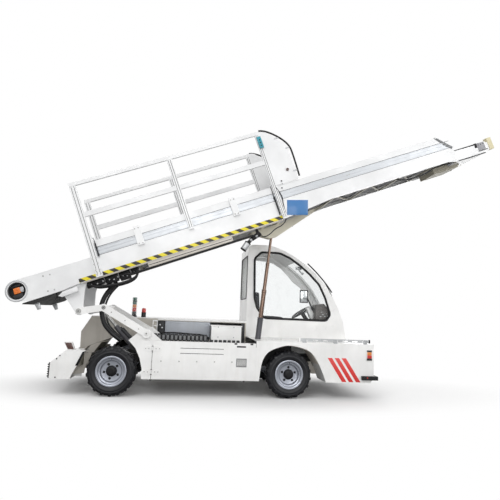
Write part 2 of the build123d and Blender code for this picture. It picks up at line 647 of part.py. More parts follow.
def hydraulic_unit():
    """White box of the hydraulic unit on the bay floor, with its raised lid."""
    x1 = FRONT_BODY_X - BOX_TO_EDGE
    x0 = x1 - BOX_LENGTH
    box = block(x0, x1, -280.0, 5.0, BAY_FLOOR + SHEET, 960.0)
    box += block(x0 - 10, x1 + 10, -290.0, 15.0, 960.0, 975.0)
    return box


def rear_corner():
    """Low rear body: shaped right cheeks, the sloped top, the rear face and the bottom."""
    x0, top, low_z = REAR_CORNER_X, REAR_CORNER_TOP, BODY_BOTTOM - 15
    ridge = (x0 + 95, 523.0)
    points = [(x0, low_z), (x0, 440.0), ridge, (x0 + 190, top), (-345.0, top), (-505.0, 280.0), (-520.0, low_z)]
    inner = [(x0, low_z), (x0, 440.0), ridge, (x0 + 190, top), (-425.0, top), (-425.0, low_z)]
    body = plate(points, -BODY_HALF, -BODY_HALF + 8)
    body += plate(inner, INNER_CHEEK - 8, INNER_CHEEK)
    seam = LEFT_BODY_REAR - 14
    short = [(x0, low_z), (x0, 440.0), ridge, (seam, 555.0), (seam, low_z)]
    body += plate(short, LEFT_CHEEK, LEFT_CHEEK + 8)
    low, high = -BODY_HALF + 8, LEFT_CHEEK
    body += block(x0, x0 + 6, low, high, low_z, 440.0)
    body += block(x0, -520.0, low, INNER_CHEEK - 8, low_z, low_z + 6)
    body += block(x0, seam, INNER_CHEEK, high, low_z, low_z + 6)
    body += plate([(x0, 440.0), ridge, (x0 + 101, 519.0), (x0 + 6, 434.0)], low, high)
    body += plate([ridge, (x0 + 190, top), (x0 + 196, top - 5), (x0 + 101, 518.0)], low, INNER_CHEEK - 8)
    body += plate([ridge, (seam, 555.0), (seam, 548.0), (x0 + 101, 518.0)], BAY_WALL_Y, high)
    body += block(x0 + 190, -345.0, low, INNER_CHEEK - 8, top - 6, top)
    return body


def rear_buffer():
    """Ribbed rubber strip across the rear face."""
    x0 = REAR_CORNER_X
    strip = block(x0 - 20, x0 - 0.3, -BODY_HALF + 20, LEFT_CHEEK - 10, BODY_BOTTOM - 10, 435.0)
    for k in range(6):
        z = BODY_BOTTOM + 8 + 30 * k
        strip += block(x0 - 32, x0 - 18, -BODY_HALF + 20, LEFT_CHEEK - 10, z, z + 14)
    return strip


def front_bumper():
    """Black rubber bumper strips round the two front corners."""
    pieces = []
    for side in (-1, 1):
        y = side * (BODY_HALF + 0.3)
        pieces.append(block(NOSE_X - 190, NOSE_X + 50, min(y, y + side * 40), max(y, y + side * 40), 290, 345))
    bar_front = block(NOSE_X + 0.3, NOSE_X + 50, -BODY_HALF - 0.3, BODY_HALF + 0.3, 290, 345)
    return bar_front + pieces[0] + pieces[1]


# Cab
def cab_profile(inset=0.0):
    """Side outline of the cab; inset moves the roof, front and rear inwards."""
    middle = (CAB_REAR + 645.0, 1300.0)
    rows = []
    for x, z in from_cab(CAB_OUTLINE):
        reach = hypot(x - middle[0], z - middle[1])
        share = 1 - 1.12 * inset / reach
        rows.append((middle[0] + (x - middle[0]) * share, middle[1] + (z - middle[1]) * share))
    if inset:
        rows[0] = (CAB_REAR + inset, rows[0][1])
        rows[-1] = (CAB_REAR + CAB_OUTLINE[-1][0] - 1.05 * inset, DECK_TOP)
    return rows + [(rows[0][0], DECK_TOP)]


def cab_right_wall():
    """Right wall of the cab with its one large window."""
    wall = plate(cab_profile(), CAB_RIGHT, CAB_RIGHT + CAB_WALL)
    return wall - plate(from_cab(WINDOW_OUTLINE), CAB_RIGHT - 5, CAB_RIGHT + CAB_WALL + 5)


def cab_hoop():
    """Roof and windscreen frame: the curved strip between the side walls, with the screen cut out."""
    y0, y1 = CAB_RIGHT + CAB_WALL, CAB_LEFT - CAB_WALL
    hoop = plate(cab_profile(), y0, y1) - plate(cab_profile(CAB_WALL), y0 - 5, y1 + 5)
    hoop -= block(CAB_REAR - 5, CAB_REAR + CAB_WALL, y0 - 5, y1 + 5, DECK_TOP - 5, CAB_CEILING)
    return hoop - block(CAB_REAR + 845, CAB_REAR + 1945, y0 + 45, y1 - 45, SCREEN_LOW, SCREEN_HIGH)


def cab_rear_wall():
    """Rear wall of the cab with its window."""
    y0, y1 = CAB_RIGHT + CAB_WALL, CAB_LEFT - CAB_WALL
    wall = block(CAB_REAR, CAB_REAR + CAB_WALL, y0, y1, DECK_TOP, CAB_CEILING)
    return wall - block(CAB_REAR - 5, CAB_REAR + CAB_WALL + 5, y0 + 70, y1 - 70, REAR_PANE_LOW, REAR_PANE_HIGH)


def shrink(points, gap):
    """Outline moved inwards by about the given gap."""
    cx = sum(x for x, _ in points) / len(points)
    cz = sum(z for _, z in points) / len(points)
    rows = []
    for x, z in points:
        reach = hypot(x - cx, z - cz)
        rows.append((cx + (x - cx) * (1 - 1.3 * gap / reach), cz + (z - cz) * (1 - 1.3 * gap / reach)))
    return rows


def cab_left_frame():
    """Left wall of the cab: the frame round the driver's door, with the hinge pins on its rear post."""
    wall = plate(cab_profile(), CAB_LEFT - CAB_WALL, CAB_LEFT)
    wall -= plate(from_cab(DOOR_OUTLINE), CAB_LEFT - CAB_WALL - 5, CAB_LEFT + 5)
    y = CAB_LEFT + CAB_HINGE_OUT
    for z in CAB_HINGE_HEIGHTS:
        wall += block(CAB_DOOR_HINGE_X - 60, CAB_DOOR_HINGE_X, CAB_LEFT, y + 8, z - 45, z - 27)
        wall += Pos(CAB_DOOR_HINGE_X, y, z) * Cylinder(HINGE_PIN, 90)
    return wall


def cab_door():
    """Driver's door with its window, hinged at the rear post."""
    door = plate(shrink(from_cab(DOOR_OUTLINE), 8), CAB_LEFT - CAB_WALL + 5, CAB_LEFT)
    hole = shrink(from_cab(DOOR_OUTLINE), 85)
    hole = [(x, max(z, SILL)) for x, z in hole]
    door -= plate(hole, CAB_LEFT - CAB_WALL - 5, CAB_LEFT + 5)
    y = CAB_LEFT + CAB_HINGE_OUT
    for z in CAB_HINGE_HEIGHTS:
        leaf = block(CAB_DOOR_HINGE_X, CAB_DOOR_HINGE_X + 70, CAB_LEFT, y + 8, z - 26, z + 26)
        leaf += Pos(CAB_DOOR_HINGE_X, y, z) * Cylinder(HINGE_PIN + 6, 52)
        leaf -= Pos(CAB_DOOR_HINGE_X, y, z) * Cylinder(HINGE_PIN + RUNNING_FIT, 60)
        door += leaf & block(CAB_DOOR_HINGE_X - 30, CAB_DOOR_HINGE_X + 80, CAB_LEFT, y + 30, z - 30, z + 30)
    return door


def door_glass():
    """Pane of the driver's door."""
    hole = shrink(from_cab(DOOR_OUTLINE), 85)
    hole = [(x, max(z, SILL)) for x, z in hole]
    return plate(shrink(hole, SEAL_GAP), CAB_LEFT - 18, CAB_LEFT - 18 + GLASS)


def cab_glass():
    """Fixed panes: right window, windscreen and rear window."""
    right = plate(shrink(from_cab(WINDOW_OUTLINE), SEAL_GAP), CAB_RIGHT + 12, CAB_RIGHT + 12 + GLASS)
    y0, y1 = CAB_RIGHT + CAB_WALL + 45 + SEAL_GAP, CAB_LEFT - CAB_WALL - 45 - SEAL_GAP
    screen = plate(cab_profile(10), y0, y1) - plate(cab_profile(10 + GLASS), y0 - 5, y1 + 5)
    screen &= block(CAB_REAR + 847, CAB_REAR + 1945, y0, y1, SCREEN_LOW + SEAL_GAP, SCREEN_HIGH - SEAL_GAP)
    y0, y1 = CAB_RIGHT + CAB_WALL + 70 + SEAL_GAP, CAB_LEFT - CAB_WALL - 70 - SEAL_GAP
    rear = block(CAB_REAR + 12, CAB_REAR + 12 + GLASS, y0, y1, REAR_PANE_LOW + SEAL_GAP, REAR_PANE_HIGH - SEAL_GAP)
    return group(right, screen, rear)


def dashboard():
    """Dashboard across the front of the cab."""
    y0, y1 = CAB_RIGHT + CAB_WALL + SEAL_GAP, CAB_LEFT - CAB_WALL - SEAL_GAP
    body = plate(
        from_cab([(1175.0, DECK_TOP), (1585.0, DECK_TOP), (1545.0, 1060.0), (1395.0, SILL), (1215.0, 1110.0),
                  (1135.0, 1010.0)]),
        y0, y1,
    )
    return body - column(COLUMN_RADIUS + SEAL_GAP)


def column(radius):
    """Steering column, from inside the dashboard up to the wheel."""
    place = Plane(
        origin=(CAB_REAR + COLUMN_FOOT[0], (CAB_RIGHT + CAB_LEFT) / 2, COLUMN_FOOT[1]), z_dir=(COLUMN_LEAN[0], 0, COLUMN_LEAN[1])
    )
    return place * Pos(0, 0, COLUMN_LENGTH / 2 - 20) * Cylinder(radius, COLUMN_LENGTH)


def steering_wheel():
    """Steering column with its wheel."""
    reach = COLUMN_LENGTH - 20
    size = hypot(*COLUMN_LEAN)
    hub = (CAB_REAR + COLUMN_FOOT[0] + COLUMN_LEAN[0] * reach / size, (CAB_RIGHT + CAB_LEFT) / 2,
           COLUMN_FOOT[1] + COLUMN_LEAN[1] * reach / size)
    place = Plane(origin=hub, z_dir=(COLUMN_LEAN[0], 0, COLUMN_LEAN[1]))
    wheel = place * Torus(STEERING_RADIUS, 14)
    wheel += place * Box(2 * STEERING_RADIUS, 36, 12)
    wheel += place * Cylinder(48, 30)
    return column(COLUMN_RADIUS) + wheel


def seat():
    """Driver's seat: box base, cushion and back."""
    y = (CAB_RIGHT + CAB_LEFT) / 2
    x, top = CAB_REAR + SEAT_X, DECK_TOP + SEAT_HEIGHT
    base = block(x + 50, x + 420, y - 190, y + 190, DECK_TOP, top - 110)
    cushion = block(x, x + 480, y - 235, y + 235, top - 110, top)
    back = plate([(x - 50, top - 40), (x + 50, top), (x - 40, top + 490), (x - 120, top + 490)], y - 225, y + 225)
    return base + fillet(cushion.edges().filter_by(Axis.Z), 50) + back


def stack_light():
    """Signal column on the left body."""
    x, y = 105.0, 330.0
    light = Pos(x, y, LEFT_BODY_TOP - 10 + 160) * Cylinder(35, 320)
    return light + Pos(x, y, LEFT_BODY_TOP - 10 + 12) * Cylinder(48, 24)


def beacon():
    """Rotating beacon on the left body."""
    x, y = 262.0, 330.0
    foot = Pos(x, y, LEFT_BODY_TOP - 10 + 40) * Cylinder(38, 80)
    dome = Pos(x, y, LEFT_BODY_TOP - 10 + 115) * Cylinder(34, 70)
    return foot + fillet(dome.edges().sort_by(Axis.Z)[-1], 18)


def lamps():
    """Lamp housings: two side lamps at the front and two tail lamps at the rear."""
    pieces = []
    for side in (-1, 1):
        y = side * (BODY_HALF + 0.3)
        low, high = min(y, y + side * 10), max(y, y + side * 10)
        pieces.append(block(NOSE_X - 115, NOSE_X - 25, low, high, 565, 715))
    x0, foot = REAR_CORNER_X + 200, REAR_CORNER_TOP
    y = -BODY_HALF + 20
    pieces.append(plate([(x0, foot), (x0 + 92, foot), (x0 + 48, foot + 102), (x0 - 54, foot + 100)], y, y + 60))
    rear = LEFT_BODY_REAR - 10 + 1.5
    pieces.append(block(rear - 45, rear, LEFT_CHEEK - 90, LEFT_CHEEK - 30, 600.0, 700.0))
    return group(*pieces)


# Lift arm
def arm_brackets():
    """Brackets on the chassis for the lift arm, with the two pivot pins."""
    x, z = ARM_PIVOT_X, ARM_PIVOT_Z
    points = [(x - 230, SIDE_TOP), (x - 60, z + 55), (x + 30, z + 60), (x + 215, SIDE_TOP), (x + 190, BAY_FLOOR + SHEET),
              (x - 60, BAY_FLOOR + SHEET)]
    right = ARM_RIGHT_Y + ARM_PLATE + 5
    left = ARM_LEFT_Y - ARM_PLATE - 5
    shape = plate(points, right, right + 20) + plate(points, left - 20, left)
    shape += rod_y(x, z, ARM_RIGHT_Y - 8, right + 20, PIN_RADIUS)
    shape += rod_y(x, z, left - 20, ARM_LEFT_Y + 8, PIN_RADIUS)
    return shape


def arm_plate(y0, y1):
    """One bent plate of the lift arm, with round ends and its two bores."""
    a = (ARM_PIVOT_X, ARM_PIVOT_Z)
    middle = (y0 + y1) / 2
    width = y1 - y0
    arm = bar(a, BEND, width, ARM_DEPTH, middle) + bar(BEND, PIVOT, width, ARM_DEPTH * 0.9, middle)
    for (x, z), radius in ((a, ARM_DEPTH * 0.62), (BEND, ARM_DEPTH / 2), (PIVOT, ARM_DEPTH * 0.45)):
        arm += rod_y(x, z, y0, y1, radius)
    for x, z in (a, PIVOT):
        arm -= rod_y(x, z, y0 - 5, y1 + 5, PIN_RADIUS + RUNNING_FIT)
    return arm


def lift_arm():
    """Lift arm: two bent plates, the tube between their bends and the cylinder's lugs."""
    arm = arm_plate(ARM_RIGHT_Y, ARM_RIGHT_Y + ARM_PLATE)
    arm += arm_plate(ARM_LEFT_Y - ARM_PLATE, ARM_LEFT_Y)
    arm += rod_y(BEND[0], BEND[1], ARM_RIGHT_Y, ARM_LEFT_Y, 32)
    for y in (REAR_CYL_Y - 40, REAR_CYL_Y + 28):
        arm += bar(BEND, (LUG[0] + REAR_CYL_LUG[0] * 0.3, LUG[1] + REAR_CYL_LUG[1] * 0.3), 12, 70, y + 6)
    return arm


def boom_pivot():
    """Cross shaft through the arm's ends and the boom's hangers, with a collar at each end."""
    low, high = ARM_RIGHT_Y - COLLAR_GAP, ARM_LEFT_Y + COLLAR_GAP
    shaft = rod_y(PIVOT[0], PIVOT[1], low, high, PIN_RADIUS)
    shaft += rod_y(PIVOT[0], PIVOT[1], low - COLLAR_WIDTH, low, PIN_RADIUS + COLLAR_LIP)
    return shaft + rod_y(PIVOT[0], PIVOT[1], high, high + COLLAR_WIDTH, PIN_RADIUS + COLLAR_LIP)


def rear_barrel():
    """Barrel of the rear cylinder with its foot eye, along +Z from its pin."""
    barrel = Pos(0, 0, 20 + REAR_BARREL_LENGTH / 2) * Cylinder(REAR_BARREL_RADIUS, REAR_BARREL_LENGTH - 20)
    barrel -= Pos(0, 0, 60 + REAR_BARREL_LENGTH / 2) * Cylinder(REAR_ROD_RADIUS + STAGE_FIT, REAR_BARREL_LENGTH)
    barrel += Rot(90, 0, 0) * Cylinder(PIN_RADIUS + 18, 50)
    return barrel - Rot(90, 0, 0) * Cylinder(PIN_RADIUS + RUNNING_FIT, 60)


def rear_rod():
    """Rod of the rear cylinder with its eye, along +Z from the foot pin."""
    start = REAR_BARREL_LENGTH * 0.55
    rod = Pos(0, 0, (start + REAR_CYL_LENGTH - 20) / 2) * Cylinder(REAR_ROD_RADIUS, REAR_CYL_LENGTH - 20 - start)
    return rod + Pos(0, 0, REAR_CYL_LENGTH) * Rot(90, 0, 0) * Cylinder(EYE_RADIUS - 6, 54)


# Front cylinder, along +Z from its foot pin
def front_barrel():
    """Barrel of the front cylinder."""
    bore = STAGE_RADIUS[0]
    barrel = Pos(0, 0, 30 + (BARREL_TOP - 30) / 2) * Cylinder(BARREL_RADIUS, BARREL_TOP - 30)
    barrel -= Pos(0, 0, 80 + BARREL_TOP / 2) * Cylinder(bore, BARREL_TOP)
    barrel += Rot(90, 0, 0) * Cylinder(PIN_RADIUS + 20, 96)
    return barrel - Rot(90, 0, 0) * Cylinder(PIN_RADIUS + RUNNING_FIT, 110)


def stage_top(index):
    """Height of a stage's upper end above the foot pin at rest."""
    return BARREL_TOP + sum(STAGE_SHOW[: index + 1])


def front_stage(index):
    """One hollow telescopic stage of the front cylinder."""
    top = stage_top(index)
    length = STAGE_LENGTH[index]
    tube = Cylinder(STAGE_RADIUS[index] - STAGE_FIT, length) - Cylinder(STAGE_RADIUS[index + 1], length + 2)
    return Pos(0, 0, top - length / 2) * tube


def front_rod():
    """Innermost stage of the front cylinder with the eye that carries the boom."""
    start = stage_top(1) - 220.0
    rod = Pos(0, 0, (start + FRONT_CYL_LENGTH) / 2) * Cylinder(STAGE_RADIUS[2] - STAGE_FIT, FRONT_CYL_LENGTH - start)
    return rod + Pos(0, 0, FRONT_CYL_LENGTH) * Rot(90, 0, 0) * Cylinder(EYE_RADIUS, 70)


# Boom
def side_plate(y0, y1):
    """One side plate of the boom with its round rear end."""
    points = [
        (0.0, HOUSING_RADIUS), (900.0, PLATE_TOP), (PLATE_END, PLATE_TOP), (PLATE_END, SHALLOW_BOTTOM),
        (SHALLOW_START, SHALLOW_BOTTOM), (DEEP_END, DEEP_BOTTOM), (800.0, DEEP_BOTTOM), (530.0, COVER_BOTTOM),
        (120.0, COVER_BOTTOM), (0.0, -HOUSING_RADIUS),
    ]
    return plate(points, y0, y1) + rod_y(0, 0, y0, y1, HOUSING_RADIUS)


def boom_sides():
    """Both side plates with the flanges along their lower edges."""
    right = side_plate(BOOM_RIGHT, BOOM_RIGHT + BOOM_SKIN) - rod_y(
        0, 0, BOOM_RIGHT - 5, BOOM_RIGHT + BOOM_SKIN + 5, HOUSING_RADIUS - 20
    )
    left = side_plate(BOOM_LEFT - BOOM_SKIN, BOOM_LEFT) - rod_y(
        0, 0, BOOM_LEFT - BOOM_SKIN - 5, BOOM_LEFT + 5, HOUSING_RADIUS - 20
    )
    shapes = []
    for inner, side, wall in ((BOOM_RIGHT + BOOM_SKIN, 1, right), (BOOM_LEFT - BOOM_SKIN, -1, left)):
        low, high = min(inner, inner + side * 44), max(inner, inner + side * 44)
        wall += block(HANGER_FRONT + 5, DEEP_END, low, high, DEEP_BOTTOM, DEEP_BOTTOM + BOOM_SKIN)
        wall += block(SHALLOW_START, NOSE_START, low, high, SHALLOW_BOTTOM, SHALLOW_BOTTOM + BOOM_SKIN)
        shapes.append(wall)
    return group(*shapes)


def belly():
    """Cross members and diagonal braces under the return belt."""
    y0, y1 = BOOM_RIGHT + BOOM_SKIN, BOOM_LEFT - BOOM_SKIN
    pieces = None
    for u in (950.0, 1600.0, 2300.0, 3000.0, 3560.0, 3820.0):
        tube = block(u - 25, u + 25, y0, y1, DEEP_BOTTOM + BOOM_SKIN, DEEP_BOTTOM + 46)
        pieces = tube if pieces is None else pieces + tube
    first, pitch = SHALLOW_START + 30, (NOSE_START - SHALLOW_START - 100) / FRONT_BAYS
    low = SHALLOW_BOTTOM + BOOM_SKIN
    for k in range(FRONT_BAYS + 1):
        u = first + k * pitch
        pieces += block(u - 20, u + 20, y0, y1, low, SHALLOW_BOTTOM + 26)
    lean = degrees(atan2(pitch, y1 - y0))
    for k in range(FRONT_BAYS):
        middle = (first + (k + 0.5) * pitch, (y0 + y1) / 2, low + 8)
        brace = Location(middle, (0, 0, -lean)) * Box(24, hypot(pitch, y1 - y0) - 60, 16)
        pieces += brace & block(first + k * pitch, first + (k + 1) * pitch, y0, y1, low, low + 16)
    return pieces


def save_boom():
    """Nodes of the boom, all placed on its slope."""
    save("boom_sides", group(boom_sides(), drum_housing()), BOOM_PLACE)
    save("boom_belly", group(belly(), cylinder_bracket(), drive_box(), boom_bed()), BOOM_PLACE)
    save("boom_hanger", boom_hanger(), BOOM_PLACE)
    save("belt", belt(), BOOM_PLACE)
    save("belt_drums", belt_drums(), BOOM_PLACE)
    save("side_guards", side_guards(), BOOM_PLACE)
    save("guard_caps", guard_caps(), BOOM_PLACE)
    save("nose_frame", nose_frame(), BOOM_PLACE)
    save("nose_pads", nose_pads(), BOOM_PLACE)
    save("handrail_right", handrail(BOOM_RIGHT - RAIL_THICK), BOOM_PLACE)
    save("handrail_left", handrail(BOOM_LEFT), BOOM_PLACE)
    save("boom_pan", under_cover(), BOOM_PLACE)


def loop_face(r_rear, r_nose):
    """Outline round the rear drum and the nose roller, in the boom's own frame."""
    face = Pos(0, 0, 0) * Circle(r_rear)
    far = Pos(NOSE_U, NOSE_W, 0) * Circle(r_nose)
    angle = atan2(NOSE_W, NOSE_U)
    low = -radians(90) + angle + atan2(r_rear - r_nose, hypot(NOSE_U, NOSE_W))
    bottom_rear = (r_rear * cos(low), r_rear * sin(low))
    bottom_nose = (NOSE_U + r_nose * cos(low), NOSE_W + r_nose * sin(low))
    quad = make_face(Polyline([(0, r_rear, 0), (NOSE_U, NOSE_W + r_nose, 0), (*bottom_nose, 0), (*bottom_rear, 0)],
                              close=True))
    return face + far + quad


def belt():
    """Endless belt round the rear drum and the nose roller."""
    ring = loop_face(BELT_RADIUS + BELT_THICK, NOSE_ROLLER + BELT_THICK) - loop_face(BELT_RADIUS + 0.3, NOSE_ROLLER + 0.3)
    solid = extrude(ring, amount=BELT_WIDTH)
    return Pos(0, BOOM_MIDDLE + BELT_WIDTH / 2, 0) * Rot(90, 0, 0) * solid


def belt_drums():
    """Rear drum and nose roller with their shafts."""
    y0, y1 = BOOM_MIDDLE - BELT_WIDTH / 2, BOOM_MIDDLE + BELT_WIDTH / 2
    drum = rod_y(0, 0, y0, y1, BELT_RADIUS) + rod_y(0, 0, BOOM_RIGHT + 68.3, BOOM_LEFT - 68.3, 25)
    nose = rod_y(NOSE_U, NOSE_W, y0, y1, NOSE_ROLLER)
    nose += rod_y(NOSE_U, NOSE_W, BOOM_RIGHT + 65 + BOOM_SKIN, BOOM_LEFT - 65 - BOOM_SKIN, 14)
    return group(drum, nose)


def drum_housing():
    """Short tubes that close the boom round the drum's ends, with their inner discs."""
    pieces = []
    for y, side in ((BOOM_RIGHT, 1), (BOOM_LEFT, -1)):
        low, high = min(y, y + side * 80), max(y, y + side * 80)
        ring = rod_y(0, 0, low, high, HOUSING_RADIUS - 20.3, HOUSING_RADIUS - 20.3 - HOUSING_SKIN)
        disc = y + side * 60
        ring += rod_y(0, 0, min(disc, disc + side * 8), max(disc, disc + side * 8), HOUSING_RADIUS - 22)
        pieces.append(ring)
    return group(*pieces)


def boom_bed():
    """Sheet that the carrying run of the belt slides on."""
    return block(130, NOSE_START, BOOM_RIGHT + BOOM_SKIN, BOOM_LEFT - BOOM_SKIN, BELT_RADIUS - 6.3, BELT_RADIUS - 0.3)


def side_guards():
    """Aluminium side guards that stand on the side plates, with slanted front ends."""
    pieces = []
    low, high = PLATE_TOP, PLATE_TOP + GUARD_BAND
    for y0 in (BOOM_RIGHT, BOOM_LEFT - 12):
        points = [(GUARD_START, low), (GUARD_END - 45, low), (GUARD_END - 45 - GUARD_BAND, high), (GUARD_START, high)]
        pieces.append(plate(points, y0, y0 + 12))
    return group(*pieces)


def guard_caps():
    """White hollow rails on top of the side guards, closed at the front by slanted end frames."""
    low, high = PLATE_TOP + GUARD_BAND, PLATE_TOP + GUARD_BAND + GUARD_CAP
    pieces = []
    for y0, y1 in ((BOOM_RIGHT, BOOM_RIGHT + 46), (BOOM_LEFT - 46, BOOM_LEFT)):
        points = [(GUARD_START, low), (GUARD_END - 45 - GUARD_BAND, low),
                  (GUARD_END - 45 - GUARD_BAND - GUARD_CAP, high), (GUARD_START, high)]
        cap = plate(points, y0, y1)
        end = [(GUARD_END, low - GUARD_BAND), (GUARD_END - GUARD_BAND - GUARD_CAP - 10, high + 15),
               (GUARD_END - GUARD_BAND - GUARD_CAP - 60, high + 15), (GUARD_END - 45, low - GUARD_BAND)]
        pieces.append(cap + plate(end, y0, y1))
    return group(*pieces)


def nose_frame():
    """Narrow cheeks ahead of the side plates that carry the nose roller."""
    pieces = None
    for y0 in (BOOM_RIGHT + BOOM_SKIN, BOOM_LEFT - BOOM_SKIN - 8):
        points = [(NOSE_START, SHALLOW_BOTTOM + 30), (PLATE_END, -110.0), (NOSE_END - 110, -108.0), (NOSE_END, -75.0),
                  (NOSE_END, 55.0), (NOSE_START, 75.0)]
        cheek = plate(points, y0, y0 + 8)
        pieces = cheek if pieces is None else pieces + cheek
    pieces += block(PLATE_END + 20, NOSE_END - 140, BOOM_RIGHT + BOOM_SKIN, BOOM_LEFT - BOOM_SKIN, -110, -104)
    for y0 in (BOOM_RIGHT + BOOM_SKIN + 8, BOOM_LEFT - BOOM_SKIN - 73):
        pieces += block(NOSE_U - 30, NOSE_U + 30, y0, y0 + 65, NOSE_W - 30, NOSE_W + 30) - rod_y(
            NOSE_U, NOSE_W, y0 - 5, y0 + 70, 14.3
        )
    return pieces


def nose_pads():
    """Foam corner pads at the tip, with the boxes behind them."""
    pieces = []
    for y0, y1 in ((BOOM_RIGHT - 4, BOOM_RIGHT + 76), (BOOM_LEFT - 76, BOOM_LEFT + 4)):
        pieces.append(block(NOSE_END + 0.3, NOSE_END + NOSE_PAD, y0, y1, -78.0, NOSE_PAD_TOP))
    return group(*pieces)


def drive_box():
    """Drive motor box under the front of the boom."""
    y0, y1 = BOOM_MIDDLE - 220, BOOM_MIDDLE + 220
    points = [(NOSE_START, -165.0), (NOSE_START, -110.0), (PLATE_END + 190, -110.0), (PLATE_END + 190, -130.0),
              (PLATE_END + 150, -165.0)]
    return plate(points, y0, y1) + block(NOSE_START, PLATE_END - 20, y0, y1, -112.0, SHALLOW_BOTTOM + BOOM_SKIN)


def boom_hanger():
    """Hangers that reach from the side plates down to the boom's pivot on the lift arm."""
    u, w = PIVOT_U, PIVOT_W
    points = [(u - 150, -160.0), (HANGER_FRONT, -160.0), (u + 150, -260.0), (u + 62, w + 20), (u, w - 50), (u - 52, w)]
    pieces = None
    for y0 in (ARM_RIGHT_Y + ARM_PLATE + 5, ARM_LEFT_Y - ARM_PLATE - 25):
        sheet = plate(points, y0, y0 + 20) + rod_y(u, w, y0, y0 + 20, 55)
        pieces = sheet if pieces is None else pieces + sheet
    pieces += block(u - 150, HANGER_FRONT, BOOM_RIGHT + BOOM_SKIN, BOOM_LEFT - BOOM_SKIN, -160, -150)
    return pieces - rod_y(u, w, -1100, 1100, PIN_RADIUS + RUNNING_FIT)


def cylinder_bracket():
    """Deepened underframe with the two cheeks that hold the front cylinder's eye."""
    u, w = EYE_U, EYE_W
    top = DEEP_BOTTOM + BOOM_SKIN
    cheeks = [(u - 350, top), (u - 60, w - 50), (u + 70, w - 50), (SHALLOW_START + 20, SHALLOW_BOTTOM + BOOM_SKIN),
              (SHALLOW_START - 20, SHALLOW_BOTTOM + BOOM_SKIN), (DEEP_END + 30, top)]
    body = None
    for y0 in (CYL_Y - 56, CYL_Y + 44):
        sheet = plate(cheeks, y0, y0 + 12)
        body = sheet if body is None else body + sheet
    return body


def under_cover():
    """Shallow pan under the boom's rear end, seated on the side plates' lower edges."""
    low = COVER_BOTTOM - PAN_DEPTH
    points = [(20.0, COVER_BOTTOM - 12), (120.0, low), (330.0, low - 5), (470.0, COVER_BOTTOM), (30.0, COVER_BOTTOM)]
    return plate(points, BOOM_RIGHT, BOOM_LEFT)


def handrail(y0):
    """Handrail along one side of the belt: three posts on the side plate, top and middle rails."""
    y1 = y0 + RAIL_THICK
    top = RAIL_TOP
    posts = [
        # place, width, foot
        (POST_REAR, 90.0, DEEP_BOTTOM),
        (POST_MIDDLE, 70.0, PLATE_TOP - 40),
        (POST_FRONT, 62.0, DEEP_BOTTOM),
    ]
    under = top - RAIL_TUBE
    rail = block(posts[0][0] - posts[0][1] / 2, posts[-1][0] + posts[-1][1] / 2, y0, y1, under, top)
    pieces = [fillet(rail.edges().filter_by(Axis.X), RAIL_ROUND)]
    for u, width, foot in posts:
        pieces.append(block(u - width / 2, u + width / 2, y0, y1, foot, under))
    for (u0, w0, _), (u1, w1, _) in zip(posts, posts[1:]):
        pieces.append(block(u0 + w0 / 2, u1 - w1 / 2, y0, y1, RAIL_MID - 35, RAIL_MID + 35))
    for u in BLOCKS:
        pieces.append(block(u - 50, u + 50, y0, y1, PLATE_TOP - 40, PLATE_TOP + GUARD_BAND + GUARD_CAP + 20))
    return group(*pieces, end_panel(y0 + 10))


def end_panel(y0):
    """Sheet panel ahead of a handrail's front post, with a cut corner."""
    low = PLATE_TOP + GUARD_BAND + GUARD_CAP + 5
    start = POST_FRONT + 31
    points = [(start, RAIL_TOP - 5), (start + 80, RAIL_TOP - 5), (start + 370, 930.0), (start + 370, low), (start, low)]
    return plate(points, y0, y0 + 12)


def save_cylinders():
    """Nodes of both lift cylinders."""
    front = Location((CYL_BASE_X, CYL_Y, CYL_BASE_Z), (0, FRONT_CYL_LEAN, 0))
    rear = Location((REAR_CYL_BASE[0], REAR_CYL_Y, REAR_CYL_BASE[1]), (0, REAR_CYL_LEAN, 0))
    save("front_barrel", front_barrel(), front)
    save("front_stage_1", front_stage(0), front)
    save("front_stage_2", front_stage(1), front)
    save("front_rod", front_rod(), front)
    save("rear_barrel", rear_barrel(), rear)
    save("rear_rod", rear_rod(), rear)


def save_body():
    """Nodes that stand still on the chassis."""
    save("axles", group(rear_axle(), front_axle()))
    save("knuckle_right", knuckle(-1))
    save("knuckle_left", knuckle(1))
    save("chassis_frame", chassis_frame())
    save("front_body", front_side(-1) + front_side(1) + front_face() + wheelhouse(-1) + wheelhouse(1))
    save("deck", deck())
    save("deck_rail", deck_rail())
    save("right_body", right_body())
    save("side_door", side_door())
    save("left_body", left_body())
    save("battery_lid", battery_lid())
    save("battery", battery())
    save("hydraulic_unit", hydraulic_unit())
    save("rear_corner", rear_corner())
    save("bumpers", group(rear_buffer(), front_bumper()))
    save("arm_brackets", arm_brackets())
    save("lights", group(stack_light(), beacon(), lamps()))


def save_cab():
    """Nodes of the cab."""
    save("cab_side_walls", group(cab_right_wall(), cab_left_frame()))
    save("cab_hoop", cab_hoop() + cab_rear_wall())
    save("cab_door", cab_door())
    save("door_glass", door_glass())
    save("cab_glass", cab_glass())
    save("dashboard", dashboard())
    save("steering_wheel", steering_wheel())
    save("seat", seat())


os.makedirs("parts", exist_ok=True)
save_wheels()
save_body()
save_cab()
save("lift_arm", lift_arm())
save("boom_pivot", boom_pivot())
save_cylinders()
save_boom()
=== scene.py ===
"""Looks of a self-propelled baggage belt loader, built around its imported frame."""

import logging
import math
from dataclasses import dataclass, field
from enum import Enum
from typing import Iterable, Optional, Sequence

import bmesh
import bpy
from mathutils import Matrix, Vector


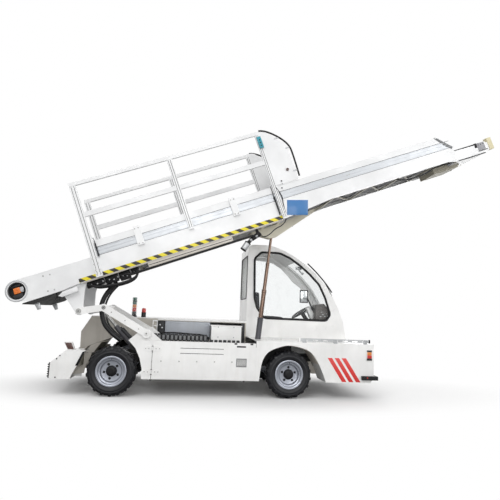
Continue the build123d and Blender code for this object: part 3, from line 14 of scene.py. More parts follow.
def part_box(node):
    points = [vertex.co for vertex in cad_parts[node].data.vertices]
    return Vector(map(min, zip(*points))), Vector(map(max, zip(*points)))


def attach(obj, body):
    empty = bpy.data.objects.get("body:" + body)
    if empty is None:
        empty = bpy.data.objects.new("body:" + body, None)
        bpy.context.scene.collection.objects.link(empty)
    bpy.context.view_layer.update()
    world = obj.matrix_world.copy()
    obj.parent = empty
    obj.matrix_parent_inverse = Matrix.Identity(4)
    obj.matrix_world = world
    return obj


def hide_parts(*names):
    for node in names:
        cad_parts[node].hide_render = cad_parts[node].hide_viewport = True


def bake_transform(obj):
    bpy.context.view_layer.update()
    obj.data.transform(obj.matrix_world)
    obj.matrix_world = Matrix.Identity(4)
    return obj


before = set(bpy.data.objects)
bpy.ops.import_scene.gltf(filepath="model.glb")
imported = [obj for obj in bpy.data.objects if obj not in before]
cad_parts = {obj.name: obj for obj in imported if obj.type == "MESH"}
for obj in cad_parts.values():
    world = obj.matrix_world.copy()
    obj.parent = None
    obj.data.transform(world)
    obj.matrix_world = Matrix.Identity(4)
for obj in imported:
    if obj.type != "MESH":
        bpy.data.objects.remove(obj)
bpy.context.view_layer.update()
LOG = logging.getLogger("belt_loader")

REAR_LOW, REAR_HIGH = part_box("tyre_rear_right")
AXLE_X = (REAR_LOW.x + REAR_HIGH.x) / 2
SLOPE = math.radians(21.1)
DRUM = Vector((AXLE_X - 1.3119, 0.0, 1.3578))
BOOM_RIGHT = -0.970
BOOM_LEFT = -0.030
# side, face of the boom's side plate and the way out
BOOM_FACES = (("right", BOOM_RIGHT, -1), ("left", BOOM_LEFT, 1))
SIDES = (-1, 1)
AHEAD, ACROSS, UP = (1, 0, 0), (0, 1, 0), (0, 0, 1)
# length of one yellow and black pair of stripes, and how far a stripe leans over its height
HAZARD_PITCH = 0.155
HAZARD_LEAN = 1.15
Point = Sequence[float]


def at(x: float, y: float, z: float) -> Vector:
    """Place on the machine.

    Args:
        x: Distance forward from the rear axle.
        y: Distance to the left of the middle.
        z: Height.

    Returns:
        The place in the shared frame.
    """
    return Vector((AXLE_X + x, y, z))


CHASSIS = Matrix.Translation((AXLE_X, 0.0, 0.0))
BOOM = Matrix.Translation(DRUM) @ Matrix.Rotation(-SLOPE, 4, "Y")


class Pattern(Enum):
    """Patterns that a finish can carry over its base colour."""

    PLAIN = "plain"
    DUSTY = "dusty"
    BRUSHED = "brushed"
    HAZARD = "hazard"
    WOVEN = "woven"
    RIBBED = "ribbed"
    GRAINED = "grained"


class Graph:
    """Small helper that lays out the nodes of one material."""

    def __init__(self, name: str) -> None:
        """Start an empty material.

        Args:
            name: The material's name.
        """
        self.material = bpy.data.materials.new(name)
        self.material.use_nodes = True
        self.tree = self.material.node_tree
        self.tree.nodes.clear()
        self.shader = self.tree.nodes.new("ShaderNodeBsdfPrincipled")
        self.output = self.tree.nodes.new("ShaderNodeOutputMaterial")
        self.tree.links.new(self.shader.outputs["BSDF"], self.output.inputs["Surface"])
        self.place = self.tree.nodes.new("ShaderNodeTexCoord").outputs["Object"]

    def link(self, source: bpy.types.NodeSocket, target: bpy.types.NodeSocket) -> None:
        """Join two sockets.

        Args:
            source: Where the value comes from.
            target: Where it goes.
        """
        self.tree.links.new(source, target)

    def stretched(self, scale: Point, turn_y: float = 0.0) -> bpy.types.NodeSocket:
        """Object coordinates, turned about Y and stretched.

        Args:
            scale: Factors along the three axes.
            turn_y: Turn about Y in radians, before the factors.

        Returns:
            The vector socket.
        """
        turn = self.tree.nodes.new("ShaderNodeMapping")
        turn.vector_type = "POINT"
        turn.inputs["Rotation"].default_value = (0.0, turn_y, 0.0)
        self.link(self.place, turn.inputs["Vector"])
        stretch = self.tree.nodes.new("ShaderNodeVectorMath")
        stretch.operation = "MULTIPLY"
        stretch.inputs[1].default_value = scale
        self.link(turn.outputs["Vector"], stretch.inputs[0])
        return stretch.outputs[0]

    def noise(self, scale: float, detail: float = 3.0,
              vector: Optional[bpy.types.NodeSocket] = None) -> bpy.types.NodeSocket:
        """Noise between 0 and 1.

        Args:
            scale: Cells in one metre.
            detail: Layers of finer noise.
            vector: Coordinates; the object's own where none are given.

        Returns:
            The value socket.
        """
        noise = self.tree.nodes.new("ShaderNodeTexNoise")
        noise.inputs["Scale"].default_value = scale
        noise.inputs["Detail"].default_value = detail
        self.link(vector or self.place, noise.inputs["Vector"])
        return noise.outputs["Fac"]

    def ramp(self, value: bpy.types.NodeSocket, low: float, high: float,
             first: float = 0.0, last: float = 1.0) -> bpy.types.NodeSocket:
        """Map a stretch of a value to another stretch, held at its ends.

        Args:
            value: The value to map.
            low: Start of the stretch.
            high: End of the stretch.
            first: Result at the start.
            last: Result at the end.

        Returns:
            The value socket.
        """
        mapped = self.tree.nodes.new("ShaderNodeMapRange")
        mapped.interpolation_type = "SMOOTHSTEP"
        mapped.inputs["From Min"].default_value = low
        mapped.inputs["From Max"].default_value = high
        mapped.inputs["To Min"].default_value = first
        mapped.inputs["To Max"].default_value = last
        self.link(value, mapped.inputs["Value"])
        return mapped.outputs["Result"]

    def math(self, operation: str, first: bpy.types.NodeSocket, second: object = 0.0) -> bpy.types.NodeSocket:
        """One sum on values.

        Args:
            operation: Name of the operation.
            first: First value.
            second: Second value, a socket or a number.

        Returns:
            The value socket.
        """
        node = self.tree.nodes.new("ShaderNodeMath")
        node.operation = operation
        self.link(first, node.inputs[0])
        if isinstance(second, bpy.types.NodeSocket):
            self.link(second, node.inputs[1])
        else:
            node.inputs[1].default_value = second
        return node.outputs[0]

    def mix(self, factor: bpy.types.NodeSocket, first: object, second: object) -> bpy.types.NodeSocket:
        """Blend two colours.

        Args:
            factor: Share of the second colour.
            first: First colour, a socket or three numbers.
            second: Second colour, a socket or three numbers.

        Returns:
            The colour socket.
        """
        node = self.tree.nodes.new("ShaderNodeMix")
        node.data_type = "RGBA"
        self.link(factor, node.inputs["Factor"])
        for key, colour in ((6, first), (7, second)):
            if isinstance(colour, bpy.types.NodeSocket):
                self.link(colour, node.inputs[key])
            else:
                node.inputs[key].default_value = (*colour, 1.0)
        return node.outputs[2]

    def along(self, axis: str, vector: Optional[bpy.types.NodeSocket] = None) -> bpy.types.NodeSocket:
        """One coordinate of a vector.

        Args:
            axis: X, Y or Z.
            vector: Coordinates; the object's own where none are given.

        Returns:
            The value socket.
        """
        split = self.tree.nodes.new("ShaderNodeSeparateXYZ")
        self.link(vector or self.place, split.inputs[0])
        return split.outputs[axis]

    def bump(self, height: bpy.types.NodeSocket, strength: float, distance: float) -> None:
        """Raise the surface by a height, on top of what was raised before.

        Args:
            height: The height from 0 to 1.
            strength: Share of the effect.
            distance: Depth in metres.
        """
        node = self.tree.nodes.new("ShaderNodeBump")
        node.inputs["Strength"].default_value = strength
        node.inputs["Distance"].default_value = distance
        self.link(height, node.inputs["Height"])
        normal = self.shader.inputs["Normal"]
        if normal.is_linked:
            self.link(normal.links[0].from_socket, node.inputs["Normal"])
        self.link(node.outputs["Normal"], normal)


@dataclass(frozen=True)
class Finish:
    """How one surface looks.

    The colour is the base one, which on some finishes is darkened as painted shade, soil is how much lies on
    it and second is the soil's colour. Grain is cells in a metre, depth is the relief in metres, turn is the
    slope that the pattern follows, outside is the colour of the left outer face, and shade_zones are places
    along the boom where the painted shade changes tone.
    """

    name: str
    colour: tuple[float, float, float]
    roughness: float = 0.5
    metallic: float = 0.0
    coat: float = 0.0
    pattern: Pattern = Pattern.PLAIN
    second: tuple[float, float, float] = (0.2, 0.18, 0.15)
    soil: float = 0.15
    grain: float = 60.0
    depth: float = 0.0004
    alpha: float = 1.0
    glow: float = 0.0
    turn: float = 0.0
    outside: Optional[tuple[float, float, float]] = None
    shade_zones: tuple = ()
    shine: float = 0.5

    def material(self) -> bpy.types.Material:
        """Make the node material of this finish, once.

        Returns:
            The material.
        """
        known = bpy.data.materials.get(self.name)
        if known:
            return known
        graph = Graph(self.name)
        shader = graph.shader
        shader.inputs["Metallic"].default_value = self.metallic
        shader.inputs["Coat Weight"].default_value = self.coat
        shader.inputs["Coat Roughness"].default_value = 0.08
        shader.inputs["Specular IOR Level"].default_value = self.shine
        colour = self.base(graph)
        graph.link(colour, shader.inputs["Base Color"])
        wear = graph.noise(self.grain * 0.2, 5.0)
        rough = graph.ramp(wear, 0.3, 0.7, max(0.02, self.roughness - 0.07), min(1.0, self.roughness + 0.08))
        graph.link(rough, shader.inputs["Roughness"])
        if self.glow:
            shader.inputs["Emission Color"].default_value = (*self.colour, 1.0)
            shader.inputs["Emission Strength"].default_value = self.glow
        if self.alpha < 1.0:
            shader.inputs["Alpha"].default_value = self.alpha
        return graph.material

    def base(self, graph: Graph) -> bpy.types.NodeSocket:
        """Colour and relief of the finish's pattern.

        Args:
            graph: The material in the making.

        Returns:
            The colour socket.
        """
        cloud = graph.noise(2.3, 5.0)
        fine = graph.noise(self.grain, 4.0)
        light = tuple(min(1.0, c * 1.04 + 0.004) for c in self.colour)
        dark = tuple(c * 0.93 for c in self.colour)
        plain = graph.mix(graph.ramp(cloud, 0.35, 0.68), dark, light)
        if self.pattern is Pattern.HAZARD:
            return self.hazard(graph, cloud)
        if self.pattern is Pattern.BRUSHED:
            lines = graph.noise(1.0, 4.0, graph.stretched((3.0, 160.0, 420.0), self.turn))
            graph.bump(lines, 0.35, self.depth)
            streak = graph.mix(graph.ramp(lines, 0.3, 0.7), tuple(c * 0.86 for c in self.colour), light)
            return graph.mix(graph.ramp(cloud, 0.45, 0.8, 0.0, self.soil), streak, self.second)
        if self.pattern is Pattern.WOVEN:
            warp = graph.math("SINE", graph.math("MULTIPLY", graph.along("X"), self.grain * 6.0))
            weft = graph.math("SINE", graph.math("MULTIPLY", graph.along("Y"), self.grain * 6.0))
            cloth = graph.math("MULTIPLY", warp, weft)
            graph.bump(cloth, 0.6, self.depth)
            return graph.mix(graph.ramp(cloth, -0.6, 0.6), dark, light)
        if self.pattern is Pattern.RIBBED:
            run = graph.along("X", graph.stretched((1, 1, 1), self.turn))
            ribs = graph.math("SINE", graph.math("MULTIPLY", run, self.grain * 6.0))
            graph.bump(ribs, 0.8, self.depth)
            return graph.mix(graph.ramp(fine, 0.45, 0.75, 0.0, self.soil), plain, self.second)
        graph.bump(fine, 0.5 if self.pattern is Pattern.GRAINED else 0.16, self.depth)
        if self.pattern is Pattern.DUSTY:
            streaks = graph.noise(1.0, 4.0, graph.stretched((14.0, 14.0, 2.2)))
            low = graph.ramp(graph.along("Z"), 0.25, 1.5, 1.0, 0.18)
            dust = graph.math("MULTIPLY", graph.ramp(streaks, 0.42, 0.74, 0.0, self.soil), low)
            if self.outside:
                plain = graph.mix(graph.ramp(graph.along("Y"), 0.60, 0.985), plain, self.outside)
            # Each shade zone steps the painted shade to another tone along the boom.
            for place, colour in self.shade_zones:
                along = graph.along("X", graph.stretched((1.0, 1.0, 1.0), self.turn))
                plain = graph.mix(graph.ramp(along, place - 0.03, place + 0.03), plain, colour)
            return graph.mix(dust, plain, self.second)
        return graph.mix(graph.ramp(fine, 0.5, 0.8, 0.0, self.soil), plain, self.second)

    def hazard(self, graph: Graph, cloud: bpy.types.NodeSocket) -> bpy.types.NodeSocket:
        """Slanted stripes along the boom.

        Args:
            graph: The material in the making.
            cloud: Large noise for the stripes' wear.

        Returns:
            The colour socket.
        """
        local = graph.stretched((1.0, 1.0, 1.0), self.turn)
        lean = graph.math("MULTIPLY", graph.along("Z", local), HAZARD_LEAN)
        run = graph.math("MULTIPLY", graph.math("ADD", graph.along("X", local), lean), 1.0 / HAZARD_PITCH)
        above_zero = 100.0
        band = graph.math("FRACT", graph.math("ADD", run, above_zero))
        dark = graph.math("LESS_THAN", band, 0.5)
        faded = tuple(c * 0.8 for c in self.colour)
        worn = graph.mix(graph.ramp(cloud, 0.5, 0.8, 0.0, 0.25), self.colour, faded)
        return graph.mix(dark, worn, self.second)


WHITE = Finish("white_paint", (0.88, 0.878, 0.868), 0.34, coat=0.35, pattern=Pattern.DUSTY, soil=0.09,
               second=(0.42, 0.37, 0.30))
BOOM_WHITE = Finish("boom_white_paint", (0.84, 0.845, 0.85), 0.36, coat=0.3, pattern=Pattern.DUSTY, soil=0.10,
                    second=(0.45, 0.42, 0.38))
# White paint darkened to beige as painted shade, for walls, panels and channels that stand in shadow. Its
# streaks are dust.
SHADE_BEIGE = Finish("inner_wall_painted_shade", (0.60, 0.565, 0.51), 0.5, pattern=Pattern.DUSTY, soil=0.35,
               second=(0.34, 0.30, 0.24))
# The left body's inner faces carry this beige as painted shade and dirt. The outer face keeps the white
# outside colour.
WALL = Finish("left_body_paint", (0.60, 0.565, 0.51), 0.5, pattern=Pattern.DUSTY, soil=0.35,
              second=(0.34, 0.30, 0.24), outside=(0.80, 0.80, 0.795))
LINER = Finish("arch_liner_paint", (0.86, 0.80, 0.71), 0.5, pattern=Pattern.DUSTY, soil=0.25,
               second=(0.5, 0.44, 0.36))
# Dark olive as painted shade, for undersides and arch liners that stand in shadow. Its streaks are dust.
SHADE_OLIVE = Finish("underside_painted_shade", (0.165, 0.155, 0.12), 0.55, pattern=Pattern.DUSTY, soil=0.3,
               second=(0.28, 0.25, 0.195), shine=0.3)
# The boom's underside in painted shade: dark olive at the rear, a light beige band over the bracket in warm
# shade, then a lighter olive towards the nose. The streaks are dust.
BELLY = Finish("belly_painted_shade", (0.165, 0.155, 0.12), 0.55, pattern=Pattern.DUSTY, soil=0.3,
               second=(0.28, 0.25, 0.195), turn=SLOPE, shine=0.3,
               shade_zones=((0.610, (0.78, 0.74, 0.61)), (1.720, (0.36, 0.34, 0.275))))
FRAME_BLACK = Finish("frame_paint", (0.018, 0.018, 0.018), 0.5, pattern=Pattern.DUSTY, soil=0.22,
                     second=(0.08, 0.07, 0.06), shine=0.3)
ALU = Finish("guard_aluminium", (0.55, 0.57, 0.595), 0.36, metallic=0.6, pattern=Pattern.BRUSHED, soil=0.14,
             second=(0.36, 0.37, 0.38), turn=SLOPE)
STEEL = Finish("turned_steel", (0.42, 0.42, 0.41), 0.34, metallic=0.9, soil=0.2)
GALVANISED = Finish("galvanised_steel", (0.50, 0.51, 0.52), 0.42, metallic=0.6, soil=0.25, grain=30.0)
PIN_STEEL = Finish("pin_steel", (0.20, 0.20, 0.20), 0.4, metallic=0.6, soil=0.3)
BRONZE = Finish("stage_bronze", (0.185, 0.125, 0.095), 0.22, metallic=0.85, pattern=Pattern.DUSTY, soil=0.3,
                second=(0.12, 0.09, 0.07))
BARREL_GREY = Finish("barrel_grey", (0.060, 0.060, 0.070), 0.42, pattern=Pattern.DUSTY, soil=0.2,
                     second=(0.2, 0.18, 0.16))
TYRE = Finish("tyre_rubber", (0.0045, 0.005, 0.0075), 0.46, pattern=Pattern.GRAINED, soil=0.14,
              second=(0.045, 0.042, 0.038), grain=90.0, depth=0.0006, shine=0.4)
RUBBER = Finish("black_rubber", (0.009, 0.009, 0.010), 0.55, pattern=Pattern.GRAINED, soil=0.2,
                second=(0.04, 0.038, 0.036), grain=140.0, shine=0.3)
HOSE = Finish("hose_rubber", (0.008, 0.008, 0.009), 0.42, pattern=Pattern.GRAINED, soil=0.15,
              second=(0.04, 0.037, 0.034), grain=200.0, depth=0.0002, shine=0.35)
BELT = Finish("belt_rubber", (0.026, 0.027, 0.029), 0.6, pattern=Pattern.RIBBED, soil=0.3,
              second=(0.08, 0.078, 0.072), grain=30.0, depth=0.0009, turn=SLOPE)
RIM = Finish("rim_paint", (0.36, 0.38, 0.43), 0.32, metallic=0.55, coat=0.2, soil=0.2,
             second=(0.2, 0.19, 0.19), grain=18.0)
HUB_BLACK = Finish("hub_black", (0.004, 0.004, 0.005), 0.5, soil=0.1, second=(0.03, 0.028, 0.026), shine=0.25)
PLASTIC = Finish("dark_plastic", (0.016, 0.0165, 0.019), 0.48, pattern=Pattern.GRAINED, soil=0.15,
                 second=(0.05, 0.048, 0.045), grain=420.0, depth=0.00025, shine=0.35)
DASH = Finish("dashboard_plastic", (0.085, 0.075, 0.068), 0.55, pattern=Pattern.GRAINED, soil=0.2,
              second=(0.15, 0.145, 0.14), grain=380.0, depth=0.0003)
CLOTH = Finish("seat_cloth", (0.034, 0.035, 0.040), 0.85, pattern=Pattern.WOVEN, grain=110.0, depth=0.0008)
CASE_LIGHT = Finish("case_light_grey", (0.33, 0.33, 0.35), 0.5, soil=0.25)
GREY_BOX = Finish("case_grey", (0.16, 0.165, 0.17), 0.5, soil=0.2)
PANEL_BLUE = Finish("bay_panel", (0.47, 0.50, 0.55), 0.45, coat=0.1, pattern=Pattern.DUSTY, soil=0.25,
                    second=(0.3, 0.28, 0.25))
YELLOW_BLACK = Finish("hazard_stripes", (0.80, 0.68, 0.035), 0.45, pattern=Pattern.HAZARD,
                      second=(0.035, 0.03, 0.025), turn=SLOPE)
RED_TAPE = Finish("red_tape", (0.70, 0.035, 0.03), 0.35, coat=0.3, soil=0.1, second=(0.4, 0.06, 0.05))
BLUE_SIGN = Finish("blue_sign", (0.035, 0.17, 0.42), 0.35, coat=0.3, soil=0.08, second=(0.1, 0.2, 0.35))
CREAM = Finish("pad_foam", (0.70, 0.64, 0.43), 0.75, pattern=Pattern.GRAINED, soil=0.3,
               second=(0.4, 0.35, 0.25), grain=150.0)
RED_LENS = Finish("red_lens", (0.62, 0.03, 0.02), 0.15, coat=0.6, soil=0.1, second=(0.3, 0.03, 0.02))
AMBER_LENS = Finish("amber_lens", (0.75, 0.24, 0.045), 0.15, coat=0.6, soil=0.1, second=(0.5, 0.15, 0.04))
GREEN_LENS = Finish("green_lens", (0.02, 0.13, 0.09), 0.15, coat=0.6, soil=0.1, second=(0.02, 0.08, 0.06))
ORANGE = Finish("motor_orange", (0.78, 0.20, 0.03), 0.4, soil=0.15)
CLEAR_LENS = Finish("clear_lens", (0.75, 0.78, 0.78), 0.12, coat=0.6, soil=0.1, alpha=0.07)
HEAD_LENS = Finish("head_lens", (0.62, 0.64, 0.66), 0.08, metallic=0.5, coat=0.8, soil=0.08)
TAIL_BROWN = Finish("tail_lens", (0.085, 0.040, 0.032), 0.35, coat=0.3, soil=0.3, second=(0.06, 0.04, 0.035))
TEAL = Finish("control_teal", (0.03, 0.30, 0.38), 0.4, soil=0.1)
MIRROR = Finish("mirror_face", (0.75, 0.77, 0.78), 0.05, metallic=1.0, soil=0.05)
GLASS_NAME = "window_glass"


def glass() -> bpy.types.Material:
    """Make the material of a thin clear pane, with a faint tint and a glossy skin, once.

    Returns:
        The material.
    """
    known = bpy.data.materials.get(GLASS_NAME)
    if known:
        return known
    graph = Graph(GLASS_NAME)
    clear = graph.tree.nodes.new("ShaderNodeBsdfTransparent")
    clear.inputs["Color"].default_value = (0.985, 0.99, 0.99, 1.0)
    shader = graph.shader
    shader.inputs["Base Color"].default_value = (0.9, 0.92, 0.92, 1.0)
    shader.inputs["Roughness"].default_value = 0.04
    smudge = graph.noise(9.0, 4.0)
    edge = graph.tree.nodes.new("ShaderNodeLayerWeight")
    edge.inputs["Blend"].default_value = 0.18
    share = graph.math("ADD", graph.math("MULTIPLY", edge.outputs["Facing"], 0.16),
                       graph.ramp(smudge, 0.45, 0.8, 0.02, 0.05))
    both = graph.tree.nodes.new("ShaderNodeMixShader")
    graph.link(share, both.inputs["Fac"])
    graph.link(clear.outputs["BSDF"], both.inputs[1])
    graph.link(shader.outputs["BSDF"], both.inputs[2])
    graph.link(both.outputs["Shader"], graph.output.inputs["Surface"])
    return graph.material


class Shape:
    """A mesh in the making, in metres."""

    def __init__(self) -> None:
        """Start with nothing in it."""
        self.bm = bmesh.new()

    def edges_of(self, verts: Iterable[bmesh.types.BMVert]) -> list[bmesh.types.BMEdge]:
        """Find the edges between the given corners.

        Args:
            verts: The corners.

        Returns:
            The edges.
        """
        chosen = set(verts)
        return [e for e in self.bm.edges if e.verts[0] in chosen and e.verts[1] in chosen]

    def soften(self, verts: Iterable[bmesh.types.BMVert], width: float, steps: int = 2,
               sharpest: float = 0.5) -> None:
        """Round the sharp edges between the given corners.

        Args:
            verts: Corners of the piece.
            width: Width of the rounding.
            steps: Faces across it.
            sharpest: Least turn of an edge that is rounded, in radians.
        """
        sharp = [e for e in self.edges_of(verts)
                 if len(e.link_faces) == 2 and e.calc_face_angle(0.0) > sharpest]
        if sharp and width > 0.0:
            bmesh.ops.bevel(self.bm, geom=sharp, offset=width, segments=steps, profile=0.5, affect="EDGES",
                            material=-1, clamp_overlap=True)

    def block(self, low: Point, high: Point, round_by: float = 0.002) -> "Shape":
        """Add a box between two corners.

        Args:
            low: Lowest corner.
            high: Highest corner.
            round_by: Width of the rounded edges.

        Returns:
            The shape, to go on with.
        """
        verts = bmesh.ops.create_cube(self.bm, size=1.0)["verts"]
        span = [b - a for a, b in zip(low, high)]
        bmesh.ops.scale(self.bm, vec=span, verts=verts)
        bmesh.ops.translate(self.bm, vec=[(a + b) / 2 for a, b in zip(low, high)], verts=verts)
        self.soften(verts, min(round_by, min(span) * 0.45))
        return self

    def rod(self, start: Point, end: Point, radius: float, sides: int = 24, tip: Optional[float] = None,
            round_by: float = 0.0) -> "Shape":
        """Add a round bar or cone between two points.

        Args:
            start: Middle of the first end.
            end: Middle of the second end.
            radius: Radius at the first end.
            sides: Flats round it.
            tip: Radius at the second end; the same where none is given.
            round_by: Width of the rounded rims.

        Returns:
            The shape, to go on with.
        """
        run = Vector(end) - Vector(start)
        verts = bmesh.ops.create_cone(self.bm, cap_ends=True, segments=sides, radius1=radius,
                                      radius2=radius if tip is None else tip, depth=run.length)["verts"]
        turn = Vector((0, 0, 1)).rotation_difference(run.normalized()).to_matrix().to_4x4()
        middle = (Vector(start) + Vector(end)) / 2
        bmesh.ops.transform(self.bm, matrix=Matrix.Translation(middle) @ turn, verts=verts)
        if round_by:
            self.soften(verts, round_by, 2, 1.0)
        return self

    def ring(self, middle: Point, axis: Point, outer: float, inner: float, width: float,
             sides: int = 48, round_by: float = 0.001) -> "Shape":
        """Add a flat ring, spun round its axis.

        Args:
            middle: Middle of the ring.
            axis: Direction of its axis.
            outer: Outer radius.
            inner: Inner radius.
            width: Width along the axis.
            sides: Flats round it.
            round_by: Width of the rounded rims.

        Returns:
            The shape, to go on with.
        """
        half = width / 2
        rows = [(inner, -half), (outer, -half), (outer, half), (inner, half)]
        return self.turned(rows, middle, axis, sides, True, round_by)

    def turned(self, rows: Sequence[tuple[float, float]], middle: Point, axis: Point, sides: int = 48,
               closed: bool = False, round_by: float = 0.0) -> "Shape":
        """Add a turned shape from a profile of radius and height.

        Args:
            rows: Radius and height along the axis, from one end to the other.
            middle: Where the height is zero.
            axis: Direction of the axis.
            sides: Flats round it.
            closed: Whether the profile is a closed loop.
            round_by: Width of the rounded rims.

        Returns:
            The shape, to go on with.
        """
        own = bmesh.new()
        verts = [own.verts.new((r, 0.0, h)) for r, h in rows]
        pairs = list(zip(verts, verts[1:])) + ([(verts[-1], verts[0])] if closed else [])
        edges = [own.edges.new(pair) for pair in pairs]
        bmesh.ops.spin(own, geom=verts + edges, cent=(0, 0, 0), axis=(0, 0, 1), angle=math.tau, steps=sides,
                       use_merge=True)
        bmesh.ops.remove_doubles(own, verts=own.verts, dist=1e-6)
        bmesh.ops.recalc_face_normals(own, faces=own.faces)
        turn = Vector((0, 0, 1)).rotation_difference(Vector(axis).normalized()).to_matrix().to_4x4()
        bmesh.ops.transform(own, matrix=Matrix.Translation(Vector(middle)) @ turn, verts=own.verts)
        self.absorb(own, round_by)
        return self

    def slab(self, points: Sequence[Point], thickness: Point, round_by: float = 0.001) -> "Shape":
        """Add a flat outline pushed out to a thickness.

        Args:
            points: Corners of the outline, in order.
            thickness: The push, as a vector.
            round_by: Width of the rounded edges.

        Returns:
            The shape, to go on with.
        """
        own = bmesh.new()
        face = own.faces.new([own.verts.new(p) for p in points])
        top = bmesh.ops.extrude_face_region(own, geom=[face])["geom"]
        moved = [g for g in top if isinstance(g, bmesh.types.BMVert)]
        bmesh.ops.translate(own, vec=thickness, verts=moved)
        bmesh.ops.recalc_face_normals(own, faces=own.faces)
        self.absorb(own, round_by)
        return self

    def absorb(self, own: bmesh.types.BMesh, round_by: float = 0.0) -> None:
        """Take over another mesh in the making, after its edges are rounded.

        Args:
            own: The other mesh, which is used up.
            round_by: Width of the rounded edges.
        """
        if round_by:
            sharp = [e for e in own.edges if len(e.link_faces) == 2 and e.calc_face_angle(0.0) > 0.6]
            if sharp:
                bmesh.ops.bevel(own, geom=sharp, offset=round_by, segments=2, profile=0.5, affect="EDGES",
                                material=-1, clamp_overlap=True)
        data = bpy.data.meshes.new("part")
        own.to_mesh(data)
        own.free()
        self.bm.from_mesh(data)
        bpy.data.meshes.remove(data)

    def plate(self, low: Point, high: Point, y: float, depth: float, round_by: float = 0.002) -> "Shape":
        """Add a box that stands on a plane of constant Y.

        Args:
            low: Lowest X and Z.
            high: Highest X and Z.
            y: The plane.
            depth: How far the box reaches from it; below zero to the right.
            round_by: Width of the rounded edges.

        Returns:
            The shape, to go on with.
        """
        near, far = sorted((y, y + depth))
        return self.block((low[0], near, low[1]), (high[0], far, high[1]), round_by)

    def pegs(self, places: Iterable[Point], y: float, depth: float, radius: float, sides: int,
             round_by: float = 0.0, tip: Optional[float] = None) -> "Shape":
        """Add round bars along Y.

        Args:
            places: X and Z of each.
            y: Where they start.
            depth: Their length; below zero to the right.
            radius: Their radius.
            sides: Flats round them.
            round_by: Width of the rounded rims.
            tip: Radius at the far end; the same where none is given.

        Returns:
            The shape, to go on with.
        """
        for x, z in places:
            self.rod((x, y, z), (x, y + depth, z), radius, sides, tip, round_by)
        return self

    def outline(self, points: Iterable[Point], y: float, depth: float, round_by: float) -> "Shape":
        """Add an outline in X and Z, pushed out of a plane of constant Y.

        Args:
            points: X and Z of its corners, in order.
            y: The plane.
            depth: The push along Y.
            round_by: Width of the rounded edges.

        Returns:
            The shape, to go on with.
        """
        return self.slab([(x, y, z) for x, z in points], (0, depth, 0), round_by)

    def moved(self, matrix: Matrix) -> "Shape":
        """Move or turn all of it.

        Args:
            matrix: The move.

        Returns:
            The shape, to go on with.
        """
        bmesh.ops.transform(self.bm, matrix=matrix, verts=self.bm.verts)
        return self


def evaluated(piece: bpy.types.Object) -> bpy.types.Mesh:
    """Apply what a curve or its modifiers make of an object.

    Args:
        piece: The object.

    Returns:
        A new mesh.
    """
    bpy.context.view_layer.update()
    return bpy.data.meshes.new_from_object(piece.evaluated_get(bpy.context.evaluated_depsgraph_get()))


